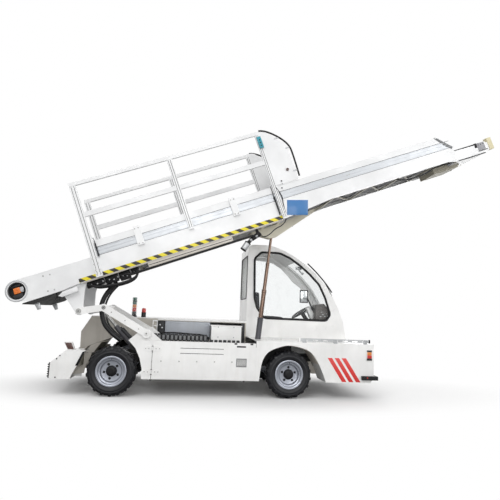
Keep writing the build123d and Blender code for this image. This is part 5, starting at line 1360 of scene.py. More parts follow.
@dataclass
class Body(Assembly):
    """Trim of the chassis body: door, vent, lamps, stripes, liners and small parts."""

    outer: float = 1.000
    hinge_x: float = 0.532
    hinge_heights: tuple = (0.345, 0.655)
    vent_x: tuple = (1.700, 1.830)
    vent_z: tuple = (0.440, 0.540)
    vent_rim: float = 0.008
    front_axle: float = 2.465
    hub: Vector = field(default_factory=lambda: Vector((0.0, 0.0, 0.335)))
    # outline of the front right wheel arch, as x from the axle and z
    arch: tuple = ((-0.445, 0.225), (-0.413, 0.515), (-0.335, 0.645), (-0.215, 0.705), (-0.040, 0.755),
                   (0.150, 0.730), (0.315, 0.665), (0.435, 0.490), (0.540, 0.225))

    def door(self) -> None:
        """Lines, bolts, latches and the vent of the side door."""
        face = -self.outer
        lines = Shape()
        for z in (0.600, 0.670):
            lines.plate((0.910, z - 0.0035), (1.510, z + 0.0035), face, -0.0012, 0.0003)
        lines.plate((1.694, 0.700), (1.823, 0.720), face, -0.0014, 0.0004)
        row = [(0.656 + 0.244 * k, 0.490 + 0.0022 * k) for k in range(5)]
        bolts = Shape().pegs(row, face, -0.004, 0.0095, 20, 0.001)
        leaf = [(x, z) for z in self.hinge_heights for x in (0.580, 0.625)]
        bolts.pegs(leaf, face - 0.006, -0.005, 0.008, 6, 0.001)
        latches = Shape()
        for x in (1.678, 1.906):
            latches.plate((x - 0.020, 0.738), (x + 0.020, 0.7595), face - 0.003, 0.009, 0.003)
            latches.plate((x - 0.008, 0.742), (x + 0.008, 0.753), face - 0.007, 0.005, 0.0015)
        (x0, x1), (z0, z1), edge = self.vent_x, self.vent_z, self.vent_rim
        mesh = Shape().plate((x0 + 0.001, z0 + 0.001), (x1 - 0.001, z1 - 0.001), face + 0.006, 0.004, 0.001)
        rim = Shape()
        for low, high in (
            ((x0 - edge, z0 - edge), (x1 + edge, z0)),
            ((x0 - edge, z1), (x1 + edge, z1 + edge)),
            ((x0 - edge, z0), (x0, z1)),
            ((x1, z0), (x1 + edge, z1)),
        ):
            rim.plate(low, high, face, -0.002, 0.0006)
        for name, shape, finish, slot in (
            ("door_lines", lines, RUBBER, "rubber_black"),
            ("door_bolts", bolts, STEEL, "drum_steel"),
            ("door_latches", latches, PLASTIC, "dark_trim"),
            ("vent_mesh", mesh, PLASTIC, "dark_trim"),
            ("vent_rim", rim, GREY_BOX, "dark_trim"),
        ):
            self.put(name, shape, finish, slot, "side_door")

    def hinges(self) -> None:
        """Fixed bolts beside each hinge, its pin ends and the small feet under the body."""
        face = -self.outer
        places = [(x, z) for z in self.hinge_heights for x in (0.440, 0.485)]
        bolts = Shape().pegs(places, face - 0.006, -0.005, 0.008, 6, 0.001)
        self.put("hinge_bolts", bolts, STEEL, "drum_steel")
        pins, x, y = Shape(), self.hinge_x, face - 0.008
        for z in self.hinge_heights:
            for low, high in ((0.028, 0.036), (-0.036, -0.028)):
                pins.rod((x, y, z + low), (x, y, z + high), 0.0105, 20, round_by=0.002)
        for x in (0.526, 1.812):
            pins.rod((x, face + 0.030, 0.245), (x, face + 0.030, 0.228), 0.020, 24, 0.015, 0.003)
        self.put("hinge_pins", pins, RUBBER, "rubber_black")

    def stripes(self) -> None:
        """Three slanted red bars on each side of the front body."""
        shape = Shape()
        low, high, wide, lean = 0.256, 0.590, 0.068, 0.220
        for side in SIDES:
            for k in range(3):
                x = 3.015 + 0.105 * k
                bar = [(x + lean, low), (x + wide + lean, low), (x + wide, high), (x, high)]
                shape.outline(bar, side * self.outer, side * 0.0012, 0.0003)
        self.put("red_bars", shape, RED_TAPE, "body_white")

    def side_lamps(self) -> None:
        """Lamp housings and lenses on both sides, and the tail lamps."""
        cases, red, amber, ends = Shape(), Shape(), Shape(), Shape()
        for side in SIDES:
            y = side * (self.outer + 0.0003)
            cases.plate((3.600, 0.565), (3.690, 0.715), y, side * 0.010, 0.004)
            for shape, z0, z1 in ((amber, 0.642, 0.686), (red, 0.597, 0.641)):
                shape.plate((3.610, z0), (3.680, z1), y + side * 0.009, side * 0.007, 0.0028)
            for z0, z1 in ((0.567, 0.596), (0.687, 0.713)):
                ends.plate((3.606, z0), (3.684, z1), y + side * 0.009, side * 0.004, 0.0015)
        outer = [(-0.585, 0.607), (-0.493, 0.607), (-0.537, 0.709), (-0.639, 0.707)]
        inner = [(-0.580, 0.614), (-0.500, 0.614), (-0.540, 0.702), (-0.628, 0.700)]
        cases.outline(outer, -0.980, 0.060, 0.004)
        cases.block((-0.6935, 0.890, 0.600), (-0.6485, 0.950, 0.700), 0.004)
        tail = Shape().outline(inner, -0.980, -0.0035, 0.0012)
        tail.block((-0.6985, 0.896, 0.606), (-0.6930, 0.944, 0.694), 0.002)
        self.put("lamp_cases", cases, WHITE, "body_white", replaces=("lights",))
        self.put("tail_lenses", tail, TAIL_BROWN, "light_shells")
        self.put("side_red_lenses", red, RED_LENS, "light_shells")
        self.put("side_amber_lenses", amber, AMBER_LENS, "light_shells")
        self.put("side_lamp_ends", ends, PLASTIC, "dark_trim")

    def signals(self) -> None:
        """Signal column and beacon on the left body."""
        x, beacon_x, y, foot = 0.105, 0.262, 0.330, 1.050
        black = Shape()
        for place, low, high, radius, edge in (
            (x, 0.0, 0.024, 0.048, 0.003),
            (x, 0.024, 0.088, 0.0335, 0.003),
            (x, 0.250, 0.262, 0.0335, 0.002),
            (beacon_x, 0.0, 0.080, 0.038, 0.003),
        ):
            black.rod((place, y, foot + low), (place, y, foot + high), radius, 40, round_by=edge)
        self.put("signal_feet", black, PLASTIC, "dark_trim")
        cover = Shape().ring((x, y, foot + 0.175), UP, 0.0475, 0.0445, 0.290, 40)
        self.put("signal_cover", cover, CLEAR_LENS, "light_shells")
        for name, low, high, finish in (
            ("signal_red", 0.090, 0.150, RED_LENS),
            ("signal_amber", 0.152, 0.200, AMBER_LENS),
            ("signal_green", 0.202, 0.250, GREEN_LENS),
            ("signal_top", 0.262, 0.320, GREEN_LENS),
        ):
            lens = Shape().rod((x, y, foot + low), (x, y, foot + high), 0.0320, 40, round_by=0.003)
            for k in range(4):
                lens.ring((x, y, foot + low + (high - low) * (k + 0.5) / 4), UP, 0.0332, 0.030, 0.004, 40)
            self.put(name, lens, finish, "light_shells")
        rows = [(0.0335, 0.080), (0.0340, 0.085), (0.0340, 0.128), (0.0300, 0.142), (0.0180, 0.1495),
                (0.0, 0.150)]
        dome = Shape().turned([(r, foot + h) for r, h in rows], (beacon_x, y, 0), UP, 40)
        for k in range(5):
            dome.ring((beacon_x, y, foot + 0.088 + 0.009 * k), UP, 0.0349, 0.032, 0.004, 40)
        self.put("beacon_dome", dome, RED_LENS, "light_shells")

    def liner(self, shape: Shape, x: float, rows: Sequence[Point], y0: float, y1: float, gap: float) -> None:
        """Add a strip that lies under a wheel arch.

        Args:
            shape: What it is added to.
            x: Middle of the arch.
            rows: Its outline, as places along the body and heights.
            y0: Right edge of the strip.
            y1: Left edge of the strip.
            gap: Distance from the arch to the strip's outer face.
        """
        arch = [Vector((px, 0.0, pz)) for px, pz in rows]
        inward = [(self.hub - p).normalized() for p in arch]
        upper = [p + way * gap for p, way in zip(arch, inward)]
        lower = [p + way * (gap + 0.003) for p, way in zip(arch, inward)]
        shape.outline([(x + p.x, p.z) for p in upper + lower[::-1]], y0, y1 - y0, 0.0)

    def liners(self) -> None:
        """Liners in the wheel arches, dark olive in painted shade over the rear and top and beige over the
        front, and the rear mudguard in painted shade.
        """
        black, beige, guard = Shape(), Shape(), Shape()
        for y0, y1 in ((-0.994, -0.580), (0.580, 0.994)):
            self.liner(black, self.front_axle, self.arch[1:5], y0, y1, 0.004)
            self.liner(beige, self.front_axle, self.arch[4:8], y0, y1, 0.004)
        self.liner(black, 0.0, [(-x, z) for x, z in self.arch[1:8]], 0.036, 0.994, 0.004)
        rows = [(-0.404, 0.400), (-0.404, 0.560), (-0.330, 0.660), (-0.215, 0.712), (-0.080, 0.735)]
        self.liner(guard, 0.0, rows, -0.985, -0.780, 0.0)
        # The olive liner pieces and the mudguard are painted shade in the arches.
        self.put("liners_painted_shade", black, SHADE_OLIVE, "underside_olive")
        self.put("light_liners", beige, LINER, "body_white")
        self.put("rear_mudguard", guard, SHADE_OLIVE, "underside_olive")

    def front_lamps(self) -> None:
        """Round head lamps and small turn lamps on the front, which the photograph hides."""
        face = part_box("front_body")[1][0] - AXLE_X
        profile = [(0.0, 0.016), (0.030, 0.0145), (0.058, 0.009), (0.0735, 0.001), (0.0735, -0.002),
                   (0.0, -0.002)]
        cases, lenses, amber = Shape(), Shape(), Shape()
        for side in SIDES:
            y, turn_y = side * 0.700, side * 0.880
            cases.ring((face + 0.006, y, 0.520), AHEAD, 0.092, 0.074, 0.012, 48, 0.003)
            lenses.turned(profile, (face, y, 0.520), AHEAD, 48)
            cases.block((face, turn_y - 0.046, 0.472), (face + 0.008, turn_y + 0.046, 0.568), 0.006)
            amber.block((face + 0.004, turn_y - 0.036, 0.482), (face + 0.014, turn_y + 0.036, 0.558), 0.004)
        self.put("head_lamp_rims", cases, RUBBER, "rubber_black")
        self.put("head_lamp_lenses", lenses, HEAD_LENS, "light_shells")
        self.put("front_turn_lamps", amber, AMBER_LENS, "light_shells")

    def rail_trim(self) -> None:
        """End cap and two clamps of the deck's rail."""
        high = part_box("deck_rail")[1]
        end = high[0] - AXLE_X
        cap = Shape().block((end - 0.012, -0.993, 0.808), (end + 0.010, -0.974, high[2] + 0.004), 0.003)
        self.put("rail_end_cap", cap, RUBBER, "rubber_black")
        clamps = Shape()
        for x, z in ((2.611, 0.862), (2.860, 0.832)):
            clamps.block((x - 0.024, -0.988, 0.800), (x + 0.024, -0.960, z), 0.004)
        self.put("rail_clamps", clamps, WHITE, "body_white")

    def arch_lips(self) -> None:
        """Pressed lips that round the wheel arches off."""
        lips = Shape()
        for middle, flip, sides in ((self.front_axle, 1, SIDES), (0.0, -1, (1,))):
            route = [Vector((flip * x, 0.0, z)) for x, z in self.arch]
            for _ in range(3):
                cut = [route[0]]
                for first, last in zip(route, route[1:]):
                    cut += [first.lerp(last, 0.25), first.lerp(last, 0.75)]
                route = cut + [route[-1]]
            inner = [p for p in route if p.z > 0.250]
            outer = [p + (p - self.hub).normalized() * 0.030 for p in inner]
            band = [(middle + p.x, p.z) for p in inner + outer[::-1]]
            for side in sides:
                lips.outline(band, side * self.outer, side * 0.0020, 0.0)
        self.put("arch_lips", lips, WHITE, "body_white")

    def inner_walls(self) -> None:
        """Black sheets standing for the shade inside the front arches, beige splash panels in painted shade,
        and beige panels in painted shade inside the rear body.
        """
        dark = [(-0.418, 0.400), (-0.402, 0.515), (-0.328, 0.640), (-0.210, 0.700), (-0.040, 0.748),
                (0.120, 0.725), (0.100, 0.620), (-0.010, 0.560), (-0.160, 0.480), (-0.300, 0.400)]
        light = [(0.420, 0.490), (0.470, 0.400), (0.540, 0.312), (0.454, 0.308), (0.330, 0.330),
                 (0.330, 0.480)]
        rear = [(-0.560, 0.262), (-0.520, 0.373), (-0.400, 0.560), (-0.300, 0.560), (-0.330, 0.470),
                (-0.369, 0.397), (-0.385, 0.283)]
        # The black walls stand for shade deep in the front arches. The beige panels are white paint in
        # painted shade.
        for name, x, y, rows, finish, slot in (
            ("arch_shade_walls", self.front_axle, 0.581, dark, RUBBER, "rubber_black"),
            ("arch_splash_panels", self.front_axle, 0.581, light, SHADE_BEIGE, "body_white"),
            ("rear_inner_panels", 0.0, 0.792, rear, SHADE_BEIGE, "body_white"),
        ):
            shape = Shape()
            for side in SIDES:
                shape.outline([(x + px, z) for px, z in rows], side * y, -side * 0.003, 0.0)
            self.put(name, shape, finish, slot)

    def corner(self) -> None:
        """Slot and bolts of the low rear body, and the bumper's reflectors."""
        face = -self.outer
        corners = [(-0.385, 0.585), (-0.350, 0.600), (-0.432, 0.405), (-0.465, 0.404)]
        slot = Shape().outline(corners, face, -0.0014, 0.0003)
        places = [(-0.705, 0.250), (-0.668, 0.530), (-0.706, 0.488)]
        bolts = Shape().pegs(places, face, -0.005, 0.009, 6, 0.001)
        dots = Shape()
        for side in SIDES:
            dots.pegs([(3.603, 0.324)], side * (self.outer + 0.0400), side * 0.0025, 0.010, 24, 0.001)
        self.put("corner_slot", slot, HUB_BLACK, "dark_trim")
        self.put("corner_bolts", bolts, HUB_BLACK, "dark_trim")
        self.put("bumper_reflectors", dots, RED_LENS, "light_shells")

    def build(self) -> None:
        """Make all of the body's trim."""
        self.door()
        self.hinges()
        self.stripes()
        self.side_lamps()
        self.signals()
        self.front_lamps()
        self.rail_trim()
        self.liners()
        self.arch_lips()
        self.inner_walls()
        self.corner()


@dataclass
class Bay(Assembly):
    """What shows in the open bay behind the cab: panel, bracket, cable chain and covers."""

    wall: float = 0.030
    floor: float = 0.705
    panel_x: tuple = (0.640, 1.362)
    panel_z: tuple = (0.750, 1.008)
    chain_start: float = 0.475
    chain_length: float = 0.845
    links: int = 13

    def panel(self) -> None:
        """Blue-grey cover of the battery and the dark part beside it."""
        (x0, x1), (z0, z1) = self.panel_x, self.panel_z
        cover = Shape().plate((x0, z0), (x1, z1), self.wall + 0.006, 0.006, 0.002)
        for z in (z0 + 0.03, z1 - 0.03):
            cover.plate((x0 + 0.02, z - 0.004), (x1 - 0.02, z + 0.004), self.wall + 0.004, 0.003, 0.001)
        self.put("battery_panel", cover, PANEL_BLUE, "battery_grey")
        dark = Shape().plate((0.525, 0.735), (0.632, 1.005), self.wall - 0.010, 0.060, 0.006)
        dark.plate((0.545, 0.780), (0.612, 0.860), self.wall - 0.022, 0.014, 0.004)
        dark.plate((1.860, self.floor), (1.915, 1.015), -0.110, 0.070, 0.006)
        self.put("bay_cases", dark, PLASTIC, "dark_trim")
        places = ((0.560, 0.945), (0.595, 0.900), (0.570, 0.820))
        knobs = Shape().pegs(places, self.wall - 0.012, -0.014, 0.012, 20, 0.002)
        self.put("bay_knobs", knobs, GALVANISED, "drum_steel")

    def bracket(self) -> None:
        """White bracket with two windows, beside the dark part."""
        shape = Shape()
        y = self.wall - 0.034
        for low, high, deep in (
            ((0.440, 0.845), (0.456, 1.012), 0.008),
            ((0.506, 0.845), (0.520, 1.012), 0.008),
            ((0.456, 0.996), (0.506, 1.012), 0.008),
            ((0.456, 0.918), (0.506, 0.934), 0.008),
            ((0.456, 0.845), (0.506, 0.861), 0.008),
            ((0.440, 0.838), (0.520, 0.846), 0.034),
            ((0.440, 1.012), (0.520, 1.019), 0.034),
        ):
            shape.plate(low, high, y, deep, 0.001)
        self.put("bay_bracket", shape, WHITE, "body_white")

    def chain(self) -> None:
        """Cable chain along the bay, with the cable above it."""
        links, ribs = Shape(), Shape()
        pitch, z = self.chain_length / self.links, self.floor
        for k in range(self.links):
            x = self.chain_start + k * pitch
            links.plate((x + 0.004, z + 0.004), (x + pitch - 0.010, z + 0.112), -0.190, 0.080, 0.006)
            links.plate((x - 0.010, z + 0.020), (x + 0.012, z + 0.090), -0.180, 0.060, 0.004)
            ribs.plate((x + 0.012, z + 0.024), (x + pitch - 0.018, z + 0.090), -0.1935, 0.0055, 0.003)
        self.put("cable_chain", links, PLASTIC, "dark_trim")
        self.put("chain_faces", ribs, GREY_BOX, "dark_trim")
        route = [(0.430, -0.020, 0.835), (0.560, -0.035, 0.820), (0.800, -0.030, 0.832),
                 (1.060, -0.040, 0.815), (1.280, -0.035, 0.810), (1.350, -0.060, 0.760)]
        self.cord("bay_cable", route, 0.011, "medium")

    def lid_trim(self) -> None:
        """Bolts of the hydraulic unit and the row of dark clips below it."""
        places = [(x, z) for x in (1.475, 1.720) for z in (0.795, 0.950)]
        bolts = Shape().pegs(places, -0.280, -0.006, 0.010, 20, 0.0015)
        self.put("unit_bolts", bolts, GALVANISED, "drum_steel")
        clips = Shape()
        for k in range(8):
            x = 1.275 + 0.068 * k
            clips.plate((x, self.floor), (x + 0.050, self.floor + 0.055), -0.440, 0.040, 0.006)
        self.put("bay_clips", clips, PLASTIC, "dark_trim")

    def build(self) -> None:
        """Make what stands in the bay."""
        self.panel()
        self.bracket()
        self.chain()
        self.lid_trim()


@dataclass
class Cab(Assembly):
    """Seals, seat, controls, wiper and small parts of the cab."""

    rear: float = 1.955
    right: float = 0.035
    left: float = 0.985
    middle: float = 0.510
    deck: float = 0.800
    seal: float = 0.0185
    # cushions: grid of the start, half width of a sewn channel, most that they swell, and frames of the run
    voxel: float = 0.011
    seam: float = 0.006
    swell: float = 0.014
    frames: int = 20
    # outline of the right window, as x from the cab's rear and z
    window: tuple = ((0.105, 2.100), (0.123, 1.450), (0.170, 1.280), (0.295, 1.112), (1.370, 1.105),
                     (1.437, 1.210), (1.345, 1.490), (1.235, 1.710), (1.065, 1.880), (0.895, 2.020),
                     (0.715, 2.140), (0.535, 2.215), (0.215, 2.215))

    def seals(self) -> None:
        """Black seals round the right window and the rear window."""
        side = [(self.rear + x, self.right - 0.001, z) for x, z in self.window]
        corners = [(self.rear + 0.001, y, z) for y, z in ((0.138, 1.424), (0.882, 1.424), (0.882, 2.156),
                                                          (0.138, 2.156))]
        for name, route, cut, radius in (("window_seal", side, 0.14, self.seal),
                                         ("rear_window_seal", corners, 0.12, 0.009)):
            self.pipe(name, rounded(route, cut), radius, RUBBER, "rubber_black", closed=True, resolution=8)

    def cushion(self, name: str, low: Point, high: Point, channels: Sequence[float], lean: float,
                anchor: Point) -> None:
        """Padded block, swollen by a cloth simulation that its sewn channels hold back.

        Args:
            name: Name of the piece.
            low: Lowest corner.
            high: Highest corner.
            channels: Places of the sewn channels across the block, by their Y.
            lean: Turn about Y through the anchor, in radians.
            anchor: Point that the turn keeps.
        """
        piece = self.put(name, Shape().block(low, high, 0.030), CLOTH, "seat_black")
        grown = self.swollen(piece, channels)
        pivot = self.place @ Matrix.Translation(anchor)
        grown.transform(pivot @ Matrix.Rotation(lean, 4, "Y") @ pivot.inverted())
        grown.polygons.foreach_set("use_smooth", [True] * len(grown.polygons))
        piece.data = grown
        piece.data.materials.clear()
        piece.data.materials.append(CLOTH.material())

    def swollen(self, piece: bpy.types.Object, channels: Sequence[float]) -> bpy.types.Mesh:
        """Blow a piece up between its channels.

        Args:
            piece: The block to start from.
            channels: Y of each channel.

        Returns:
            The new mesh, finer and rounder.
        """
        grid = piece.modifiers.new("grid", "REMESH")
        grid.mode = "VOXEL"
        grid.voxel_size = self.voxel
        mesh = evaluated(piece)
        piece.modifiers.clear()
        piece.data = mesh
        start = [v.co.copy() for v in mesh.vertices]
        pins = piece.vertex_groups.new(name="channels")
        held = [v.index for v in mesh.vertices if any(abs(v.co.y - y) < self.seam for y in channels)]
        pins.add(held, 1.0, "REPLACE")
        cloth = piece.modifiers.new("cloth", "CLOTH")
        cloth.settings.use_pressure = True
        cloth.settings.uniform_pressure_force = 4.0
        cloth.settings.vertex_group_mass = pins.name
        cloth.settings.effector_weights.gravity = 0.0
        cloth.point_cache.frame_start, cloth.point_cache.frame_end = 1, self.frames
        scene = bpy.context.scene
        for step in range(1, self.frames + 1):
            scene.frame_set(step)
        blown = evaluated(piece)
        piece.modifiers.clear()
        piece.vertex_groups.clear()
        scene.frame_set(1)
        for vert, first in zip(blown.vertices, start):
            move = vert.co - first
            if move.length > self.swell:
                vert.co = first + move.normalized() * self.swell
        piece.data = blown
        finer = piece.modifiers.new("finer", "SUBSURF")
        finer.levels = finer.render_levels = 1
        mesh = evaluated(piece)
        piece.modifiers.clear()
        return mesh

    def seat(self) -> None:
        """Driver's seat: base with its bellows, cushion and back."""
        x, y, top = self.rear + 0.225, self.middle, self.deck + 0.350
        base = Shape().block((x + 0.055, y - 0.185, self.deck), (x + 0.415, y + 0.185, top - 0.112), 0.012)
        base.block((x + 0.010, y - 0.215, top - 0.125), (x + 0.460, y + 0.215, top - 0.108), 0.006)
        for k in range(5):
            z = self.deck + 0.03 + 0.035 * k
            base.block((x + 0.045, y - 0.190, z), (x + 0.425, y + 0.190, z + 0.020), 0.008)
        self.put("seat_base", base, PLASTIC, "dark_trim", replaces=("seat",))
        anchor = (x, y, top)
        self.cushion("seat_cushion", (x + 0.014, y - 0.222, top - 0.098), (x + 0.466, y + 0.222, top - 0.013),
                     (y - 0.120, y + 0.120), 0.0, anchor)
        self.cushion("seat_back", (x - 0.040, y - 0.212, top + 0.012), (x + 0.045, y + 0.212, top + 0.400),
                     (y - 0.115, y + 0.115), -0.05, anchor)

    def mirror(self) -> None:
        """Inner mirror in its frame, on a bent arm."""
        bars = Shape()
        for low, high in (((2.876, 1.391), (2.892, 1.612)), ((3.002, 1.391), (3.018, 1.612)),
                          ((2.892, 1.596), (3.002, 1.612)), ((2.892, 1.391), (3.002, 1.407))):
            bars.plate(low, high, 0.098, 0.024, 0.004)
        bars.rod((3.010, 0.112, 1.470), (3.110, 0.180, 1.330), 0.012, 16)
        bars.rod((3.110, 0.180, 1.330), (3.140, 0.200, 1.290), 0.024, 20, round_by=0.004)
        self.put("mirror_frame", bars, PLASTIC, "dark_trim")
        face = Shape().plate((2.890, 1.405), (3.004, 1.598), 0.106, 0.010)
        self.put("mirror_glass", face, MIRROR, "drum_steel")

    def controls(self) -> None:
        """Cowl beside the wheel with its switches, the column's panel and shroud, and a roof bracket."""
        cowl = [(3.150, 1.118), (3.160, 1.372), (3.305, 1.392), (3.385, 1.300), (3.440, 1.200),
                (3.452, 1.118)]
        self.put("side_cowl", Shape().outline(cowl, 0.085, 0.260, 0.018), DASH, "dark_trim")
        panel = [(3.030, 1.315), (3.098, 1.330), (3.178, 1.175), (3.130, 1.118), (3.100, 1.150)]
        self.put("column_panel", Shape().outline(panel, 0.215, 0.120, 0.004), WHITE, "body_white")
        specks = Shape()
        for x, z, wide in ((3.225, 1.165, 0.030), (3.268, 1.200, 0.022), (3.300, 1.168, 0.034),
                           (3.335, 1.215, 0.020), (3.350, 1.178, 0.026), (3.250, 1.240, 0.018),
                           (3.378, 1.150, 0.022)):
            specks.plate((x, z), (x + wide, z + 0.014), 0.0775, 0.010, 0.003)
        specks.rod((3.190, 0.150, 1.370), (3.170, 0.150, 1.440), 0.007, 16)
        specks.rod((3.170, 0.150, 1.440), (3.166, 0.150, 1.462), 0.015, 20, round_by=0.005)
        self.put("dash_switches", specks, GALVANISED, "drum_steel")
        y = self.middle
        shroud = Shape().rod((3.140, y, 1.062), (3.030, y, 1.228), 0.042, 28, 0.031, 0.006)
        for side in SIDES:
            shroud.rod((3.045, y, 1.205), (3.075, y + side * 0.130, 1.240), 0.006, 12)
        self.put("column_shroud", shroud, PLASTIC, "dark_trim")
        bracket = Shape().plate((2.800, 1.960), (2.900, 2.010), 0.100, 0.060, 0.006)
        bracket.rod((2.850, 0.130, 1.960), (2.900, 0.130, 1.900), 0.012, 16)
        bracket.rod((2.900, 0.130, 1.900), (2.935, 0.130, 1.890), 0.020, 20, round_by=0.004)
        self.put("roof_bracket", bracket, GALVANISED, "drum_steel")

    def wiper(self) -> None:
        """Wiper that stands off the windscreen."""
        blade = [(x, 0.130, z) for x, z in ((3.008, 2.074), (3.130, 1.968), (3.270, 1.822), (3.375, 1.700),
                                            (3.450, 1.592))]
        self.pipe("wiper_blade", blade, 0.0110, RUBBER, "rubber_black", resolution=8)
        arm = [(3.545, 0.400, 1.330), (3.560, 0.360, 1.400), (3.480, 0.200, 1.560), (3.280, 0.135, 1.818)]
        self.pipe("wiper_arm", arm, 0.0065, PLASTIC, "dark_trim")

    def handle(self) -> None:
        """Handle of the driver's door."""
        handle = Shape().plate((3.230, 1.020), (3.350, 1.060), self.left, 0.006, 0.003)
        handle.plate((3.240, 1.032), (3.340, 1.048), self.left + 0.022, 0.008, 0.003)
        handle.plate((3.240, 1.032), (3.252, 1.048), self.left + 0.004, 0.022, 0.002)
        self.put("door_handle", handle, PLASTIC, "dark_trim", "cab_door")

    def build(self) -> None:
        """Make all of the cab's parts."""
        self.seals()
        self.seat()
        self.mirror()
        self.controls()
        self.wiper()
        self.handle()


@dataclass
class LiftGear(Assembly):
    """Pins, hoses and fittings of the lift arm and of both cylinders."""

    pivot: tuple = (0.429, 0.848)
    bend: tuple = (-0.173, 1.184)
    end: tuple = (-0.501, 1.123)
    right: float = -0.930
    left: float = -0.070
    hose_y: float = -0.720
    # foot and top of the front cylinder, as x and z, and the y of its axis
    cylinder: tuple = ((2.025, 0.360), (2.232, 2.425))
    cylinder_y: float = -0.500
    # thick hose in two runs that meet on the arm, as x and z
    lower: tuple = ((0.071, 0.732), (-0.020, 0.790), (-0.107, 0.867), (-0.190, 0.960), (-0.221, 1.076))
    upper: tuple = ((-0.221, 1.076), (-0.245, 1.190), (-0.225, 1.291), (-0.175, 1.400), (-0.085, 1.510),
                    (-0.040, 1.550))

    def pins(self) -> None:
        """Washers and pin ends at the arm's pivots."""
        shape = Shape()
        for x, z in (self.pivot, self.bend, self.end):
            for y, out in ((self.right, -1), (self.left, 1)):
                start = y + out * 0.0005
                shape.ring((x, start + out * 0.003, z), ACROSS, 0.026, 0.017, 0.006, 40)
                shape.rod((x, start, z), (x, start + out * 0.009, z), 0.0125, 32, round_by=0.002)
        self.put("arm_pin_ends", shape, PIN_STEEL, "drum_steel", "lift_arm")

    def hoses(self) -> None:
        """Thick hose from the chassis past the arm to the boom, and two thin lines beside it."""
        for part, points, bodies in (
            ("lower", self.lower, ("chassis", "lift_arm")),
            ("upper", self.upper, ("lift_arm", "boom_pivot")),
        ):
            route = [(x, self.hose_y, z) for x, z in points]
            self.cord("hose_" + part, route, 0.034, "stiff", bodies, 10)
            for k, offset in enumerate((0.180, 0.220)):
                beside = [(x + 0.02, y + offset, z) for x, y, z in route]
                self.cord(f"line_{part}_{k}", beside, 0.011, "stiff", bodies, 8)

    def arm_trim(self) -> None:
        """Small cylinder behind the arm and the bolts of its plates."""
        y = -0.800
        small = Shape().rod((0.082, y, 0.901), (0.220, y, 0.763), 0.028, 28, round_by=0.004)
        small.rod((0.060, y, 0.923), (0.085, y, 0.898), 0.012, 20)
        self.put("small_cylinder", small, PLASTIC, "dark_trim")
        pivot, bend = Vector(self.pivot), Vector(self.bend)
        places = [pivot.lerp(bend, share) for share in (0.18, 0.5, 0.82)]
        bolts = Shape()
        for y, out in ((self.right, -1), (self.left, 1)):
            bolts.pegs(places, y, out * 0.004, 0.0095, 6, 0.001)
        self.put("arm_bolts", bolts, STEEL, "drum_steel", "lift_arm")

    def glands(self) -> None:
        """Collars at the top of each cylinder stage."""
        foot, top = (Vector((x, self.cylinder_y, z)) for x, z in self.cylinder)
        way = (top - foot).normalized()
        for name, reach, outer, inner, body, finish in (
            ("barrel_gland", 0.757, 0.047, 0.036, "front_barrel", BARREL_GREY),
            ("stage_gland_1", 1.190, 0.0385, 0.0285, "front_stage_1", BRONZE),
            ("stage_gland_2", 1.620, 0.0315, 0.0215, "front_stage_2", BRONZE),
        ):
            ring = Shape()
            for step in (0.0, -0.030):
                ring.ring(foot + way * (reach + step), way, outer, inner, 0.018, 48, 0.003)
            self.put(name, ring, finish, "cylinder_bronze", body)

    def build(self) -> None:
        """Make all of the lift gear's parts."""
        self.pins()
        self.hoses()
        self.arm_trim()
        self.glands()


